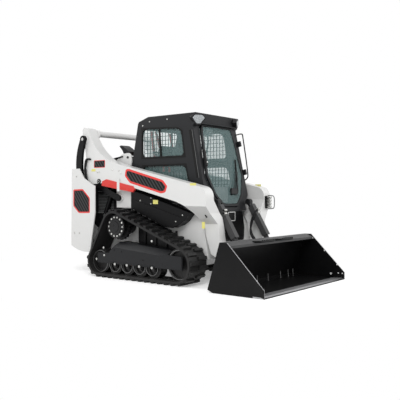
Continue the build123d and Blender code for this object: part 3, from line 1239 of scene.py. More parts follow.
# ---------------------------------------------------------------- undercarriage
@dataclass
class TrackTrim:
    """Plates, caps, bolts, rims and inner covers of the running gear."""

    caps: Points = ((-0.79, 0.38), (-0.778, 0.282), (-0.923, 0.224), (0.055, 0.503))
    front_plate: Points = (
        (0.1, 0.245), (0.16, 0.345), (0.52, 0.345), (0.52, 0.19), (0.1, 0.19),
    )
    rail: Box = (-0.7, 0.196, 0.1, 0.206)
    screws: Points = ((-0.6, 0.36), (-0.47, 0.345), (-0.1, 0.26), (0.22, 0.24))
    screw: Points = ((0.01, 0.0), (0.01, 0.0045), (0.007, 0.006))
    rollers: Points = ((-0.603, 0.18), (-0.387, 0.18), (-0.174, 0.18), (0.038, 0.18))
    roller_rim: float = 0.1
    wheels: tuple[tuple[Point, float], ...] = (((-0.868, 0.202), 0.14), ((0.47, 0.245), 0.175))
    hub: Point = (-0.58, 0.655)
    hub_ring: float = 0.12
    hub_bolts: int = 14
    motor: Points = (
        (0.15, -0.02), (0.15, 0.001), (0.108, 0.002), (0.104, 0.012), (0.07, 0.014),
        (0.066, 0.022), (0.03, 0.023), (0.026, 0.018), (0.01, 0.018),
    )
    cover_face: float = 0.515
    cover: Points = (
        (-0.43, 0.36), (-0.43, 0.8), (0.02, 0.66), (0.36, 0.5), (0.36, 0.36),
    )
    ribs: tuple[float, ...] = (-0.3, -0.12, 0.06, 0.22)
    rib_span: Point = (0.4, 0.62)
    maker: Maker = Maker("track", Body.CHASSIS)

    def roller_frames(self) -> None:
        """Adds caps, a front plate, a lower rail and screws to each roller frame."""
        for side, make in self.maker.sides():
            face = side.outside("track_frame")
            make.piece("caps", Shape().pins(face, self.caps, 0.014, 0.006), Look.BOLT)
            plates = Shape().plate(face, rounded(self.front_plate, 0.006), -0.001, 0.004)
            plates.blocks(face, [self.rail], -0.001, 0.006)
            make.piece("frame_plates", plates, Look.CHARCOAL, 0.001)
            screws = Shape().turned(face, self.screws, self.screw, 16)
            make.piece("frame_screws", screws, Look.PLASTIC)

    def wheels_on_frames(self) -> None:
        """Adds caps to the rollers, and polished running rims to them and the idlers."""
        for side, make in self.maker.sides():
            face = side.outside("rollers")
            make.piece("roller_caps", Shape().pins(face, self.rollers, 0.018, 0.006), Look.BOLT)
            rims = Shape()
            for at in self.rollers:
                rims.frame(face, ring(self.roller_rim, 36, at), 0.006, -0.004, 0.002)
            for at, radius in self.wheels:
                rims.frame(face, ring(radius, 48, at), 0.007, -0.004, 0.002)
            make.piece("rims", rims, Look.RIM)

    def hubs(self) -> None:
        """Adds the drive motor's stepped housing and its bolts to each sprocket."""
        for side, make in self.maker.sides():
            face = side.outside("sprocket")
            places = ring(self.hub_ring, self.hub_bolts, self.hub)
            make.piece("hub_bolts", Shape().bolts(face, places, 0.009), Look.BOLT)
            make.piece("hub", Shape().turned(face, [self.hub], self.motor, 40), Look.STEEL, 0.001)

    def inner_covers(self) -> None:
        """Builds the dark ribbed cover that fills each track's loop against the tub."""
        low, high = self.rib_span
        ribs = [(x - 0.012, low, x + 0.012, high) for x in self.ribs]
        for side, make in self.maker.sides():
            face = side.face(self.cover_face)
            cover = Shape().plate(face, rounded(self.cover, 0.03), -0.004, 0.004)
            cover.blocks(face, ribs, 0.003, 0.022)
            make.piece("inner_cover", cover, Look.PLASTIC, FINE_EDGE)

    def build(self) -> None:
        """Everything on both running gears."""
        self.roller_frames()
        self.wheels_on_frames()
        self.hubs()
        self.inner_covers()


# ---------------------------------------------------------------- bucket
@dataclass
class BucketTrim:
    """Lip, steps, cutting edge, bolts, weld beads and painted highlights on the side edges of the
    bucket.
    """

    half: float = 0.94
    skin: float = 0.012
    lip: Points = (
        (1.176, 0.5535), (1.212, 0.5535), (1.3, 0.52),
        (1.298, 0.49), (1.282, 0.494), (1.205, 0.53),
    )
    # the side plates' front edge, where a thin bright steel strip paints a highlight
    side_edge: Points = ((1.2735, 0.553), (1.7385, 0.0905), (1.7385, 0.0))
    blade: Points = (
        (1.6, 0.0), (1.7395, 0.0), (1.7395, 0.006), (1.7, 0.019), (1.6, 0.019),
    )
    plugs: Points = ((1.551, 0.05), (1.645, 0.062), (1.706, 0.062), (1.268, 0.506))
    holes: tuple[tuple[Point, float], ...] = (
        ((1.56, 0.061), 0.013), ((1.661, 0.075), 0.008), ((1.716, 0.074), 0.008),
    )
    inner_bolts: Points = ((1.643, 0.179), (1.465, 0.347), (1.3, 0.5))
    beads: tuple[float, ...] = (-0.1, 0.14, 0.43, 0.62, 0.74)
    bead: Points = ((1.118, 0.016), (1.113, 0.06), (1.112, 0.105))
    steps: tuple[tuple[float, float], ...] = ((-0.42, -0.12), (0.02, 0.3))
    step_foot: Point = (1.255, 0.53)
    step_bend: Point = (1.35, 0.536)
    step_front: Point = (1.37, 0.537)
    maker: Maker = Maker("bucket", Body.BUCKET)

    def edges(self) -> None:
        """Builds the folded lip, the bolted cutting edge, and bright steel strips on the side
        plates' front edges that paint a highlight.
        """
        inset = self.half - self.skin
        lip = Shape().plate(MIDDLE, self.lip, -inset, inset)
        self.maker.piece("lip", lip, Look.GUARD, FINE_EDGE)
        blade = Shape().plate(MIDDLE, self.blade, -self.half, self.half)
        self.maker.piece("cutting_edge", blade, Look.CUT_EDGE, FINE_EDGE)
        # bare steel strips along the side plates' front edges: a painted highlight, not wear
        for side, make in self.maker.sides():
            edge = Shape()
            for (u, v), (s, t) in zip(self.side_edge, self.side_edge[1:]):
                strip = ((u, v), (s, t), (s + 0.0008, t), (u + 0.0008, v))
                edge.plate(side.face(inset), strip, 0.0, 0.011)
            make.piece("side_edge", edge, Look.CUT_EDGE)

    def steps_on_lip(self) -> None:
        """Builds the two step loops on the lip, and the teeth that give them grip."""
        loops = []
        teeth = Shape()
        for left, right in self.steps:
            way = (self.step_foot, self.step_bend, self.step_front)
            places = zip((left, left, left + 0.02, right - 0.02, right, right), way + way[::-1])
            loops.append([(x, y, z) for y, (x, z) in places])
            places = spread(left + 0.03, right - 0.03, 6)
            boxes = [(y - 0.008, 0.53, y + 0.008, 0.556) for y in places]
            teeth.blocks(cross_face(1.366), boxes, 0.0, 0.012)
        self.maker.lines("steps", loops, 0.013, Look.BLACK)
        self.maker.piece("step_teeth", teeth, Look.BLACK, 0.001)

    def beads_and_plugs(self) -> None:
        """Builds the stitch welds in the corner of the floor, and the plugs of the sides."""
        beads = [[(x, y, z) for x, z in self.bead] for y in self.beads]
        self.maker.lines("weld_beads", beads, 0.0045, Look.RIM)
        for side, make in self.maker.sides():
            plugs = Shape()
            for at in self.plugs:
                plugs.frame(side.face(self.half), ring(0.013, 20, at), 0.003, -0.006, -0.0002)
            make.piece("plugs", plugs, Look.GUARD)
            inside = side.inner_face(self.half - 0.014)
            holes = Shape()
            for at, radius in self.holes:
                holes.turned(inside, [at], ((radius, 0.0), (radius, 0.0035)), 20)
            holes.bolts(inside, self.inner_bolts, 0.006)
            make.piece("inner_bolts", holes, Look.WHITE_CAST)

    def build(self) -> None:
        """Everything on the bucket."""
        self.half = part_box("bucket")[1][1]
        self.edges()
        self.steps_on_lip()
        self.beads_and_plugs()


# ---------------------------------------------------------------- cab
@dataclass
class CabTrim:
    """Door, seals, lamps, wiper, guards and bright trim of the cab."""

    foot: Point = (0.655, 0.86)
    lean: float = 13.0
    door: Points = (
        (0.15, 0.055), (0.29, 0.19), (0.385, 0.43),
        (0.385, 0.48), (0.335, 1.01), (0.3, 1.095),
    )
    rim: float = 0.024
    handle: Points = ((-0.385, 0.55), (-0.35, 0.55), (-0.345, 0.76), (-0.375, 0.76))
    hinges: tuple[tuple[str, float], ...] = (("upper", 0.88), ("lower", 0.5))
    guard: Points = (
        (0.4, 0.44, 1.842), (0.45, 0.475, 1.862), (0.5, 0.482, 1.862), (0.505, 0.482, 1.83),
        (0.555, 0.482, 1.55), (0.59, 0.482, 1.325), (0.585, 0.482, 1.285), (0.545, 0.478, 1.248),
        (0.5, 0.47, 1.252), (0.485, 0.44, 1.262),
    )
    windows: tuple[Points, ...] = (
        ((-0.445, 1.52), (-0.445, 1.925), (0.175, 1.9), (0.245, 1.86), (0.3, 1.52)),
        ((-0.43, 1.15), (-0.43, 1.445), (0.31, 1.445), (0.38, 1.15)),
    )
    slider: Points = (
        (-0.118, 1.525), (-0.096, 1.525), (-0.128, 1.905), (-0.15, 1.905),
    )
    grids: tuple[Box, ...] = ((-0.43, 1.49, 0.29, 1.905), (-0.42, 1.15, 0.36, 1.44))
    grid_face: float = 0.403
    grid_pitch: float = 0.05
    wire: float = 0.0032
    slider_rail: Box = (-0.42, 1.528, 0.28, 1.546)
    lock: Point = (-0.364, 0.6)
    hinge_across: Point = (0.415, 0.445)
    lamp_at: Point = (0.452, 0.4, 1.992)
    lamp_turn: float = 26.0
    lamp_feet: tuple[float, float] = (-0.076, -0.044)
    visor_z: float = 1.926
    visor: Points = (
        (0.435, -0.45), (0.466, -0.35), (0.474, 0.0), (0.466, 0.35), (0.435, 0.45),
    )
    channel: Points = ((0.352, 1.85), (0.396, 1.85), (0.505, 1.265), (0.47, 1.265))
    bright: Points = ((0.398, 1.85), (0.402, 1.85), (0.511, 1.265), (0.507, 1.265))
    roof_screws: Points = ((-0.3, 1.995), (0.0, 2.005), (-0.42, 1.95))
    wiper_motor: Points = ((0.02, 0.2), (0.17, 0.2), (0.17, 0.28), (0.05, 0.29))
    wiper_arms: tuple[Points, ...] = (
        ((0.06, 0.25), (0.12, 0.24), (0.19, 0.3), (0.24, 0.5)),
        ((0.09, 0.27), (0.14, 0.3), (0.22, 0.5)),
    )
    wiper_blade: Points = ((0.17, 0.22), (0.18, 0.22), (0.262, 0.66), (0.252, 0.66))
    side: float = 0.45
    maker: Maker = Maker("cab", Body.CHASSIS)

    def plane(self, off: float = 0.0) -> Face:
        """The door's leaning plane, with u as y and v up the door.

        Args:
            off: how far outside the door's own plane it is.

        Returns:
            The plane.
        """
        lean = math.radians(self.lean)
        out = Vector((math.cos(lean), 0, math.sin(lean)))
        up = Vector((-math.sin(lean), 0, math.cos(lean)))
        return Face(Vector((self.foot[0], 0, self.foot[1])) + off * out, Y, up, out)

    def door_leaf(self) -> None:
        """Builds the door's slim frame, its glass and its seal."""
        left = [(-u, v) for u, v in reversed(self.door)]
        outer = rounded([*self.door, *left], 0.045, 6)
        leaf = Shape().frame(self.plane(), outer, self.rim, 0.0, 0.026)
        self.maker.piece("door_leaf", leaf, Look.CHARCOAL, 0.004, Body.DOOR, ["door_frame"])
        glass = Shape().plate(self.plane(), grown(outer, -0.018), 0.014, 0.02)
        self.maker.piece("door_pane", glass, Look.GLASS, 0.0, Body.DOOR, ["door_glass"])
        seal = Shape().frame(self.plane(), grown(outer, -self.rim + 0.001), 0.01, 0.018, 0.0235)
        self.maker.piece("door_seal", seal, Look.SEAL, FINE_EDGE, Body.DOOR)

    def door_fittings(self) -> None:
        """Builds the handle, the lock, the fixed hinge blocks and the tube that guards them."""
        base = rounded(self.handle, 0.012)
        handle = Shape().plate(self.plane(0.026), base, 0.0, 0.022, slope=0.006)
        self.maker.piece("door_handle", handle, Look.PLASTIC, 0.003, Body.DOOR)
        lock = Shape().pins(self.plane(0.046), [self.lock], 0.01, 0.01)
        self.maker.piece("door_lock", lock, Look.BRIGHT, 0.0, Body.DOOR)
        left, right = self.hinge_across
        for name, v in self.hinges:
            box = (left, v - 0.035, right, v + 0.035)
            block = Shape().blocks(self.plane(0.004), [box], 0.0, 0.05)
            self.maker.piece(f"hinge_{name}", block, Look.PLASTIC, 0.004)
        self.maker.lines("guard_loop", [self.guard], 0.008, Look.BLACK)

    def seals(self) -> None:
        """Lays seals with round inner corners in the side windows, and their slider bars."""
        for side, make in self.maker.sides():
            face = side.face(self.side)
            seals = Shape()
            for window in self.windows:
                inner = rounded(grown(window, -0.02), 0.075, 6)
                seals.between(face, rounded(window, 0.004, 6), inner, -0.02, 0.003)
            seals.plate(face, self.slider, -0.016, 0.0)
            seals.blocks(face, [self.slider_rail], -0.014, -0.004)
            make.piece("window_seals", seals, Look.SEAL, FINE_EDGE)

    def meshes(self) -> None:
        """Welds the guard grids inside the side windows."""
        wire = self.wire
        for side, make in self.maker.sides():
            face = side.face(self.grid_face)
            bars = Shape()
            for left, bottom, right, top in self.grids:
                across = spread(left, right, round((right - left) / self.grid_pitch))
                wires = [(u - wire, bottom, u + wire, top) for u in across]
                bars.blocks(face, wires, -0.003, 0.003)
                up = spread(bottom, top, round((top - bottom) / self.grid_pitch))
                wires = [(left, v - wire, right, v + wire) for v in up]
                bars.blocks(face, wires, -0.0025, 0.0035)
            make.piece("mesh", bars, Look.BLACK)

    def lamps(self) -> None:
        """Builds the two front work lamps, with housings and bright lenses."""
        for (side, make), foot in zip(self.maker.sides(), self.lamp_feet):
            turn = math.radians(self.lamp_turn * side.value)
            out = Vector((math.cos(turn), math.sin(turn), -0.08)).normalized()
            right = Vector((-math.sin(turn), math.cos(turn), 0))
            face = Face(Vector(side.route([self.lamp_at])[0]), right, out.cross(right), out)
            kite = (
                (-0.092, 0.004), (-0.05, 0.044), (0.05, 0.044),
                (0.092, 0.004), (0.028, foot), (-0.028, foot),
            )
            housing = Shape().plate(face, rounded(grown(kite, 0.01), 0.012), -0.03, 0.022)
            make.piece("lamp", housing, Look.PLASTIC, 0.003)
            glass = rounded(grown(kite, -0.004), 0.01)
            lens = Shape().plate(face, glass, 0.018, 0.028, slope=0.006)
            make.piece("lamp_lens", lens, Look.LENS, FINE_EDGE)

    def trim(self) -> None:
        """Builds the visor lip, the channels beside the door and the roof's screws."""
        lip = Shape().plate(level_face(self.visor_z), self.visor, 0.0, 0.012)
        self.maker.piece("visor_lip", lip, Look.CHARCOAL, 0.003)
        for side, make in self.maker.sides():
            face = side.face(self.side)
            make.piece("channel", Shape().plate(face, self.channel, -0.002, 0.0015), Look.SEAL)
            bright = Shape().plate(face, self.bright, 0.0, 0.002)
            make.piece("bright_line", bright, Look.BRIGHT_LINE)
            make.piece("roof_screws", Shape().bolts(face, self.roof_screws, 0.006), Look.BRIGHT)

    def wiper(self) -> None:
        """Builds the wiper's motor cover, arms and blade."""
        cover = rounded(self.wiper_motor, 0.02)
        motor = Shape().plate(self.plane(0.026), cover, -0.002, 0.022, slope=0.005)
        self.maker.piece("wiper_motor", motor, Look.PLASTIC, 0.003, Body.DOOR)
        arms = [[self.plane(0.04).at(u, v) for u, v in arm] for arm in self.wiper_arms]
        self.maker.lines("wiper_arm", arms, 0.006, Look.PLASTIC, Body.DOOR)
        blade = Shape().plate(self.plane(0.026), self.wiper_blade, 0.0, 0.018)
        self.maker.piece("wiper_blade", blade, Look.SEAL, 0.001, Body.DOOR)

    def build(self) -> None:
        """Everything on the cab."""
        self.door_leaf()
        self.door_fittings()
        self.seals()
        self.meshes()
        self.lamps()
        self.trim()
        self.wiper()


@dataclass
class Interior:
    """Seat, bars, belts, consoles and displays inside the cab."""

    lap_bar: Points = (
        (-0.4, 0.27, 1.62), (-0.25, 0.27, 1.6), (0.0, 0.27, 1.55), (0.06, 0.162, 1.5),
    )
    grab_loop: Points = (
        (-0.28, 0.37, 1.58), (-0.1, 0.37, 1.545), (-0.04, 0.37, 1.56), (0.02, 0.37, 1.74),
        (0.005, 0.37, 1.87), (-0.03, 0.37, 1.895), (-0.16, 0.37, 1.9),
    )
    shoulder_belts: tuple[tuple[float, float, float], ...] = (
        (-0.19, -0.43, -0.5), (-0.12, -0.33, -0.49), (0.15, -0.4, -0.5),
    )
    belt_width: float = 0.022
    belt_ends: Point = (1.44, 1.9)
    lap_belts: tuple[float, ...] = (-0.28, -0.16)
    lap_belt: Box = (-0.22, 1.18, -0.195, 1.42)
    console_y: float = 0.29
    console: Points = ((-0.3, 1.26), (-0.3, 1.36), (0.08, 1.34), (0.1, 1.28))
    dash_x: float = 0.42
    dash: Box = (-0.13, 0.96, 0.13, 1.16)
    grip_x: float = 0.05
    grip_z: float = 1.33
    grip: Points = (
        (0.018, 0.0), (0.012, 0.02), (0.012, 0.09), (0.02, 0.11), (0.022, 0.17), (0.012, 0.19),
    )
    display_x: float = 0.33
    displays: tuple[Box, ...] = ((-0.27, 1.8, -0.14, 1.895), (-0.1, 1.8, 0.03, 1.895))
    pad_steps: int = 20
    cushion_at: Point = (-0.1, 0.0, 1.235)
    cushion_size: Point = (0.42, 0.44, 0.1)
    backrest_at: Point = (-0.385, 0.0, 1.5)
    backrest_size: Point = (0.43, 0.42, 0.085)
    backrest_lean: float = -78.0
    maker: Maker = Maker("seat", Body.CHASSIS)

    def cushion(
        self, name: str, center: Point, size: Point, lean: float, crown: float
    ) -> bpy.types.Object:
        """Builds one crowned pad with sewn channels.

        Args:
            name: the pad's name.
            center: its middle.
            size: its length, width and thickness.
            lean: its turn about the machine's width, in degrees.
            crown: how far its top swells.

        Returns:
            The pad.
        """
        long, wide, thick = size
        turn = Matrix.Rotation(math.radians(lean), 3, "Y")
        grids = []
        for under in (False, True):
            grid = []
            for u in spread(-1, 1, self.pad_steps):
                row = []
                for v in spread(-1, 1, self.pad_steps):
                    edge = (1 - abs(u) ** 4) * (1 - abs(v) ** 4)
                    channel = 0.25 * math.exp(-(((abs(v) - 0.5) / 0.05) ** 2))
                    swell = 0.5 * thick + crown * (edge - channel * (1 - u * u))
                    height = swell * (0.35 + 0.65 * edge**0.4)
                    if under:
                        height = -0.5 * thick * (0.4 + 0.6 * edge**0.4)
                    pull = 1 - 0.03 * (1 - edge)
                    spot = Vector((0.5 * long * u * pull, 0.5 * wide * v * pull, height))
                    row.append(Vector(center) + turn @ spot)
                grid.append(row)
            grids.append(grid)
        shape = Shape()
        shape.pad(*grids)
        made = self.maker.piece(name, shape, Look.VINYL, smooth=True)
        return made

    def belts(self) -> None:
        """Hangs the shoulder belts behind the seat and the lap belts beside it."""
        belts = Shape()
        low, high = self.belt_ends
        across = self.belt_width
        for y, foot, head in self.shoulder_belts:
            strap = ((foot, low), (foot + across, low), (head + across, high), (head, high))
            belts.plate(side_face(y), strap, 0.0, 0.03)
        for y in self.lap_belts:
            belts.blocks(side_face(y), [self.lap_belt], 0.0, 0.022)
        self.maker.piece("belts", belts, Look.BELT, 0.001)

    def controls(self) -> None:
        """Builds the consoles, their hand controls and the displays."""
        consoles, sticks = Shape(), Shape()
        for side in Side:
            outline = rounded(self.console, 0.03)
            consoles.plate(side.face(self.console_y), outline, -0.045, 0.045)
            at = (self.grip_x, side.value * self.console_y)
            sticks.turned(level_face(self.grip_z), [at], self.grip, 16)
        consoles.blocks(cross_face(self.dash_x), [self.dash], 0.0, 0.1)
        self.maker.piece("consoles", consoles, Look.CONSOLE, 0.004)
        self.maker.piece("hand_controls", sticks, Look.PLASTIC, smooth=True)
        screens = Shape().blocks(cross_face(self.display_x), self.displays, 0.0, 0.02)
        self.maker.piece("displays", screens, Look.SCREEN, 0.003)

    def build(self) -> None:
        """Everything inside the cab."""
        base = self.cushion("cushion", self.cushion_at, self.cushion_size, 0.0, 0.012)
        lean = self.backrest_lean
        self.cushion("backrest", self.backrest_at, self.backrest_size, lean, 0.01)
        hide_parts("seat")
        self.maker.lines("lap_bars", mirrored(self.lap_bar), 0.012, Look.BLACK)
        self.maker.lines("grab_loops", mirrored(self.grab_loop), 0.011, Look.BLACK)
        self.belts()
        self.controls()


# ---------------------------------------------------------------- cylinders and lines
@dataclass
class Hydraulics:
    """Guards, pins, braces, couplings and hoses of the lift and the tilt."""

    tilt_top: Point = (0.7, 0.97)
    tilt_foot: Point = (1.05, 0.39)
    tilt_y: float = 0.34
    guard: Box = (-0.038, 0.05, 0.038, 0.5)
    flanges: tuple[Box, ...] = ((-0.038, 0.07, -0.032, 0.49), (0.032, 0.07, 0.038, 0.49))
    saddles: tuple[Box, ...] = ((-0.03, 0.08, 0.03, 0.12), (-0.03, 0.43, 0.03, 0.47))
    link_eyes: Points = ((-1.262, 1.804), (-1.22, 1.05))
    skin: float = 0.69
    brace: Points = (
        (-0.93, 1.178), (-0.92, 1.236), (-0.84, 1.262),
        (-0.35, 1.168), (-0.325, 1.128), (-0.36, 1.092),
    )
    slots: tuple[float, ...] = (-0.8, -0.56, -0.44)
    slot_foot: float = 1.222
    slot_slope: float = 0.165
    strap: Box = (-0.638, 1.105, -0.592, 1.262)
    link_pin: Point = (-0.985, 1.235)
    disc: Points = ((0.034, -0.03), (0.034, 0.008), (0.02, 0.01))
    hose_y: float = 0.7
    hose_gap: float = 0.024
    rear_hose: Points = (
        (-1.17, 1.16), (-1.2, 1.24), (-1.235, 1.38), (-1.225, 1.5), (-1.19, 1.55), (-1.14, 1.53),
    )
    hose_x: float = 0.83
    fittings_y: float = 0.335
    fittings: Points = ((0.83, 0.878), (0.83, 0.838))
    fitting: Points = ((0.016, -0.05), (0.016, -0.02), (0.019, -0.02), (0.019, 0.0))
    coupling: Points = (
        (0.015, 0.0), (0.015, 0.03), (0.018, 0.03), (0.018, 0.052), (0.011, 0.055), (0.009, 0.045),
    )
    block_x: float = 0.8
    block: Box = (0.56, 0.885, 0.625, 1.045)
    coupling_x: float = 0.82
    coupling_y: float = 0.595
    coupling_z: tuple[float, ...] = (0.905, 0.945, 0.985, 1.025)
    coupling_guard: Points = (
        (0.8, 0.64, 0.878), (0.86, 0.642, 0.876), (0.892, 0.643, 0.89), (0.895, 0.643, 0.965),
        (0.892, 0.643, 1.035), (0.86, 0.642, 1.052), (0.8, 0.64, 1.05),
    )
    tube: float = 0.041
    collar: Points = ((0.05, 0.0), (0.054, 0.004), (0.054, 0.024), (0.048, 0.028))
    knee: float = 0.6005
    knee_slot: Points = ((0.684, 0.868), (0.7, 0.876), (0.752, 0.8), (0.736, 0.792))
    knee_label: Box = (0.673, 0.67, 0.717, 0.747)
    maker: Maker = Maker("lines", Body.ARMS)

    def tilt_guards(self) -> None:
        """Folds the steel guards over the tilt cylinders' barrels."""
        top = Vector((self.tilt_top[0], 0, self.tilt_top[1]))
        foot = Vector((self.tilt_foot[0], 0, self.tilt_foot[1]))
        along = (foot - top).normalized()
        for side, make in self.maker.sides():
            start = top + side.value * self.tilt_y * Y
            face = Face(start, Y, along, along.cross(Y))
            guard = Shape().plate(face, corners(self.guard, 0.02), 0.04, 0.046)
            guard.blocks(face, self.flanges, -0.03, 0.046)
            guard.blocks(face, self.saddles, 0.02, 0.043)
            make.piece("tilt_guard", guard, Look.GUARD, 0.003, Body.TILT_BARRELS)

    def pins(self) -> None:
        """Sets the pin ends of the rear links, each with a ring round it."""
        for side, make in self.maker.sides():
            face = side.face(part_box("rear_links")[1][1])
            ends = Shape().pins(face, self.link_eyes, 0.02, 0.007)
            make.piece("link_pins", ends, Look.BRIGHT, 0.0, Body.REAR_LINKS)
            rings = Shape()
            for at in self.link_eyes:
                rings.frame(face, ring(0.047, 32, at), 0.009, -0.002, 0.004)
            make.piece("link_rings", rings, Look.BLACK, 0.0, Body.REAR_LINKS)

    def braces(self) -> None:
        """Builds the red lift-arm brace outside each arm, its strap, and the link's pin end."""
        slots = []
        for left in self.slots:
            foot = self.slot_foot - self.slot_slope * (left - self.slots[0])
            right = left + 0.09
            slot = (
                (left, foot - 0.048), (left, foot - 0.02),
                (right, foot - 0.036), (right, foot - 0.062),
            )
            slots.append(rounded(slot, 0.008))
        for side, make in self.maker.sides():
            face = side.face(self.skin)
            red = Shape().plate(face, rounded(self.brace, 0.008), -0.02, 0.01)
            make.piece("brace", red, Look.BRACE, 0.002)
            marks = Shape()
            for slot in slots:
                marks.plate(face, slot, 0.0098, 0.0108)
            make.piece("brace_slots", marks, Look.BRACE_SLOT)
            strap = Shape().blocks(face, [self.strap], 0.008, 0.013)
            make.piece("brace_strap", strap, Look.WHITE, 0.001)
            disc = Shape().turned(face, [self.link_pin], self.disc, 28)
            make.piece("pin_disc", disc, Look.BLACK, 0.001)
            bright = Shape().frame(face, ring(0.019, 24, self.link_pin), 0.005, 0.008, 0.011)
            make.piece("pin_ring", bright, Look.BRIGHT)

    def rear_hoses(self) -> None:
        """Runs the two hoses that climb from the tower to each arm."""
        routes = []
        for n in range(2):
            out = self.hose_y + 0.005 - 0.004 * n
            across = (self.hose_y, out, out, out, out, self.hose_y)
            shift = n * self.hose_gap
            routes.append([(x - shift, y, z) for (x, z), y in zip(self.rear_hose, across)])
        for side, make in self.maker.sides():
            both = [side.route(route) for route in routes]
            make.lines("rear_hoses", both, 0.011, Look.HOSE)

    def front_hoses(self) -> None:
        """Runs the tilt hoses down the front between the legs, with bright fittings."""
        routes = []
        for n in range(2):
            drop = 0.04 * n
            inwards = 0.03 * n
            routes.append(
                [
                    (self.hose_x, 0.392, 0.88 - drop), (self.hose_x, 0.3, 0.875 - drop),
                    (0.765 + 0.022 * n, 0.27, 0.7), (0.79, 0.255 - inwards, 0.58),
                    (0.84, 0.25 - inwards, 0.52), (0.875, 0.245 - inwards, 0.475),
                ]
            )
        self.maker.lines("front_hoses", mirrored(*routes), 0.012, Look.HOSE)
        fittings = Shape()
        for side in Side:
            fittings.turned(side.inner_face(self.fittings_y), self.fittings, self.fitting, 6)
        self.maker.piece("front_fittings", fittings, Look.BRIGHT)

    def auxiliary(self) -> None:
        """Builds the auxiliary coupling block on the left arm, with its couplings and guard."""
        outline = corners(self.block, 0.01)
        block = Shape().plate(cross_face(self.block_x), outline, -0.03, 0.022)
        self.maker.piece("coupling_block", block, Look.BLACK, 0.003)
        for n, z in enumerate(self.coupling_z):
            at = (self.coupling_y, z)
            port = Shape().turned(cross_face(self.coupling_x), [at], self.coupling, 24)
            self.maker.piece(f"coupling_{n}", port, Look.BRIGHT, 0.001)
        self.maker.lines("coupling_guard", [self.coupling_guard], 0.006, Look.GREY_BAR)

    def top_tube(self) -> None:
        """Builds the stout cross tube between the arms, with a collar at each end."""
        low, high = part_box("arm_cross_tube")
        middle = ((low[0] + high[0]) / 2, (low[2] + high[2]) / 2)
        tube = Shape()
        for side in Side:
            tube.turned(side.face(high[1] - 0.03), [middle], self.collar, 40)
        tube.turned(MIDDLE, [middle], ((self.tube, -high[1]), (self.tube, high[1])), 40)
        self.maker.piece("cross_tube", tube, Look.WHITE, 0.001, replaces=["arm_cross_tube"])

    def knees(self) -> None:
        """Marks the grease slot and the yellow label on each knee."""
        for side, make in self.maker.sides():
            face = side.face(self.knee)
            slot = Shape().plate(face, rounded(self.knee_slot, 0.008), -0.002, 0.0015)
            make.piece("knee_slot", slot, Look.SEAL)
            label = Shape().blocks(face, [self.knee_label], 0.0, 0.0008)
            make.piece("knee_label", label, Look.LABEL)

    def build(self) -> None:
        """Everything on the cylinders, links and arms' ends."""
        self.tilt_guards()
        self.pins()
        self.braces()
        self.rear_hoses()
        self.front_hoses()
        self.auxiliary()
        self.top_tube()
        self.knees()


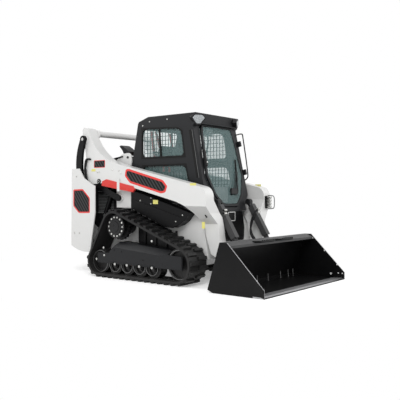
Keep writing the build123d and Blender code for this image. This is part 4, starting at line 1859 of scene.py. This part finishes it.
# ---------------------------------------------------------------- rear and front
@dataclass
class RearTrim:
    """Lugs behind the cab, exhaust hood, gate and lid fittings, and the front panel."""

    lug: Points = (
        (-1.0, 1.44), (-0.78, 1.6), (-0.655, 1.612), (-0.615, 1.585), (-0.605, 1.5),
        (-0.625, 1.4), (-1.0, 1.36),
    )
    lug_face: float = 0.468
    lug_pin: Point = (-0.672, 1.552)
    hood_face: float = -0.3
    hood: Points = (
        (-0.875, 1.712), (-0.835, 1.722), (-0.76, 1.68), (-0.7, 1.63), (-0.705, 1.58),
        (-0.78, 1.585), (-0.815, 1.65),
    )
    grille: Box = (-0.36, 0.955, 0.36, 1.31)
    grille_sheet: Box = (-0.35, 0.965, 0.35, 1.3)
    louvres: int = 11
    louvre_half: float = 0.33
    louvre_foot: float = 0.98
    louvre_pitch: float = 0.028
    latch: Box = (-0.44, 0.86, -0.36, 0.93)
    latch_bar: Box = (-0.43, 0.885, -0.37, 0.9)
    hinges: tuple[float, ...] = (0.6, 0.93, 1.26)
    hinge_across: Point = (0.45, 0.49)
    lamp_y: float = 0.38
    lid_start: Point = (-0.8, 0.0, 1.569)
    lid_end: Point = (-1.0, 0.0, 1.5405)
    vents: int = 6
    vent_half: float = 0.3
    vent_foot: float = 0.03
    vent_pitch: float = 0.025
    panel_face: float = 0.65
    panel: Points = (
        (-0.275, 0.49), (0.275, 0.49), (0.284, 0.66),
        (0.24, 0.857), (-0.24, 0.857), (-0.284, 0.66),
    )
    plate_face: float = 0.6685
    plate: Box = (-0.075, 0.735, 0.075, 0.85)
    plate_middle: Box = (-0.07, 0.74, 0.07, 0.845)
    maker: Maker = Maker("rear", Body.CHASSIS)

    def lugs_and_hood(self) -> None:
        """Builds the white lugs behind the cab, and the exhaust's flared hood."""
        for side, make in self.maker.sides():
            face = side.face(self.lug_face)
            lug = Shape().plate(face, rounded(self.lug, 0.03), -0.016, 0.0)
            make.piece("cab_lug", lug, Look.WHITE, 0.002)
            make.piece("cab_pin", Shape().pins(face, [self.lug_pin], 0.016, 0.01), Look.PLASTIC)
        hood = Shape().plate(side_face(self.hood_face), rounded(self.hood, 0.012), -0.02, 0.13)
        self.maker.piece("exhaust_hood", hood, Look.PLASTIC, 0.008, Body.LID)

    def gate(self) -> None:
        """Builds the tailgate's louvres, latch, hinges and lamp rims."""
        face = cross_face(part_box("tailgate")[0][0], -1)
        feet = [self.louvre_foot + self.louvre_pitch * n for n in range(self.louvres)]
        half = self.louvre_half
        slats = Shape().blocks(face, [(-half, z, half, z + 0.012) for z in feet], -0.004, 0.006)
        slats.frame(face, corners(self.grille, 0.03), 0.018, -0.002, 0.008)
        self.maker.piece("gate_louvres", slats, Look.PLASTIC, 0.001, Body.GATE)
        sheet = Shape().plate(face, corners(self.grille_sheet, 0.03), 0.0, 0.0012)
        self.maker.piece("gate_backing", sheet, Look.BLACK, 0.0, Body.GATE)
        latch = Shape().plate(face, corners(self.latch, 0.012), 0.0, 0.007)
        latch.blocks(face, [self.latch_bar], 0.006, 0.011)
        self.maker.piece("gate_latch", latch, Look.PLASTIC, 0.001, Body.GATE)
        left, right = self.hinge_across
        leaves = [(left, z - 0.03, right, z + 0.03) for z in self.hinges]
        hinges = Shape().blocks(face, leaves, -0.002, 0.005)
        self.maker.piece("gate_hinges", hinges, Look.STEEL, 0.001, Body.GATE)
        low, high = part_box("tail_lamps")
        rims = Shape()
        for side in Side:
            y = side.value * self.lamp_y
            outline = corners((y - 0.04, low[2] - 0.006, y + 0.04, high[2] + 0.006), 0.012)
            rims.frame(face, outline, 0.007, -0.001, 0.009)
        self.maker.piece("lamp_rims", rims, Look.PLASTIC, 0.001, Body.GATE)

    def lid(self) -> None:
        """Builds the vents of the engine lid on its slope."""
        start = Vector(self.lid_start)
        way = (Vector(self.lid_end) - start).normalized()
        face = Face(start, Y, way, Y.cross(way))
        half = self.vent_half
        feet = [self.vent_foot + self.vent_pitch * n for n in range(self.vents)]
        slots = [(-half, foot, half, foot + 0.012) for foot in feet]
        vents = Shape().blocks(face, slots, -0.002, 0.006)
        self.maker.piece("lid_vents", vents, Look.PLASTIC, 0.001, Body.LID)

    def front_panel(self) -> None:
        """Builds the panel under the door, and the plain blank plate on it."""
        face = cross_face(self.panel_face)
        panel = Shape().plate(face, rounded(self.panel, 0.02), 0.0, 0.017)
        panel.plate(face, rounded(grown(self.panel, -0.035), 0.02), 0.01, 0.0185)
        self.maker.piece("front_panel", panel, Look.BLACK, 0.002, replaces=["front_panel"])
        face = cross_face(self.plate_face)
        rim = Shape().frame(face, corners(self.plate, 0.018), 0.008, 0.0, 0.004)
        self.maker.piece("blank_plate_rim", rim, Look.WHITE)
        blank = Shape().plate(face, corners(self.plate_middle, 0.015), 0.0, 0.002)
        self.maker.piece("blank_plate", blank, Look.BLACK)

    def build(self) -> None:
        """Everything at the rear, and the panel at the front."""
        self.lugs_and_hood()
        self.gate()
        self.lid()
        self.front_panel()


def main() -> None:
    """Builds and dresses the machine, sub-assembly by sub-assembly."""
    logging.basicConfig(level=logging.INFO, format="%(message)s", stream=sys.stdout)
    Studio().build()
    FramePieces().dress()
    trims = (
        ArmTrim, TowerTrim, SideTrim, TrackTrim, BucketTrim,
        CabTrim, Interior, Hydraulics, RearTrim,
    )
    for trim in trims:
        trim().build()


if __name__ == "__main__":
    main()
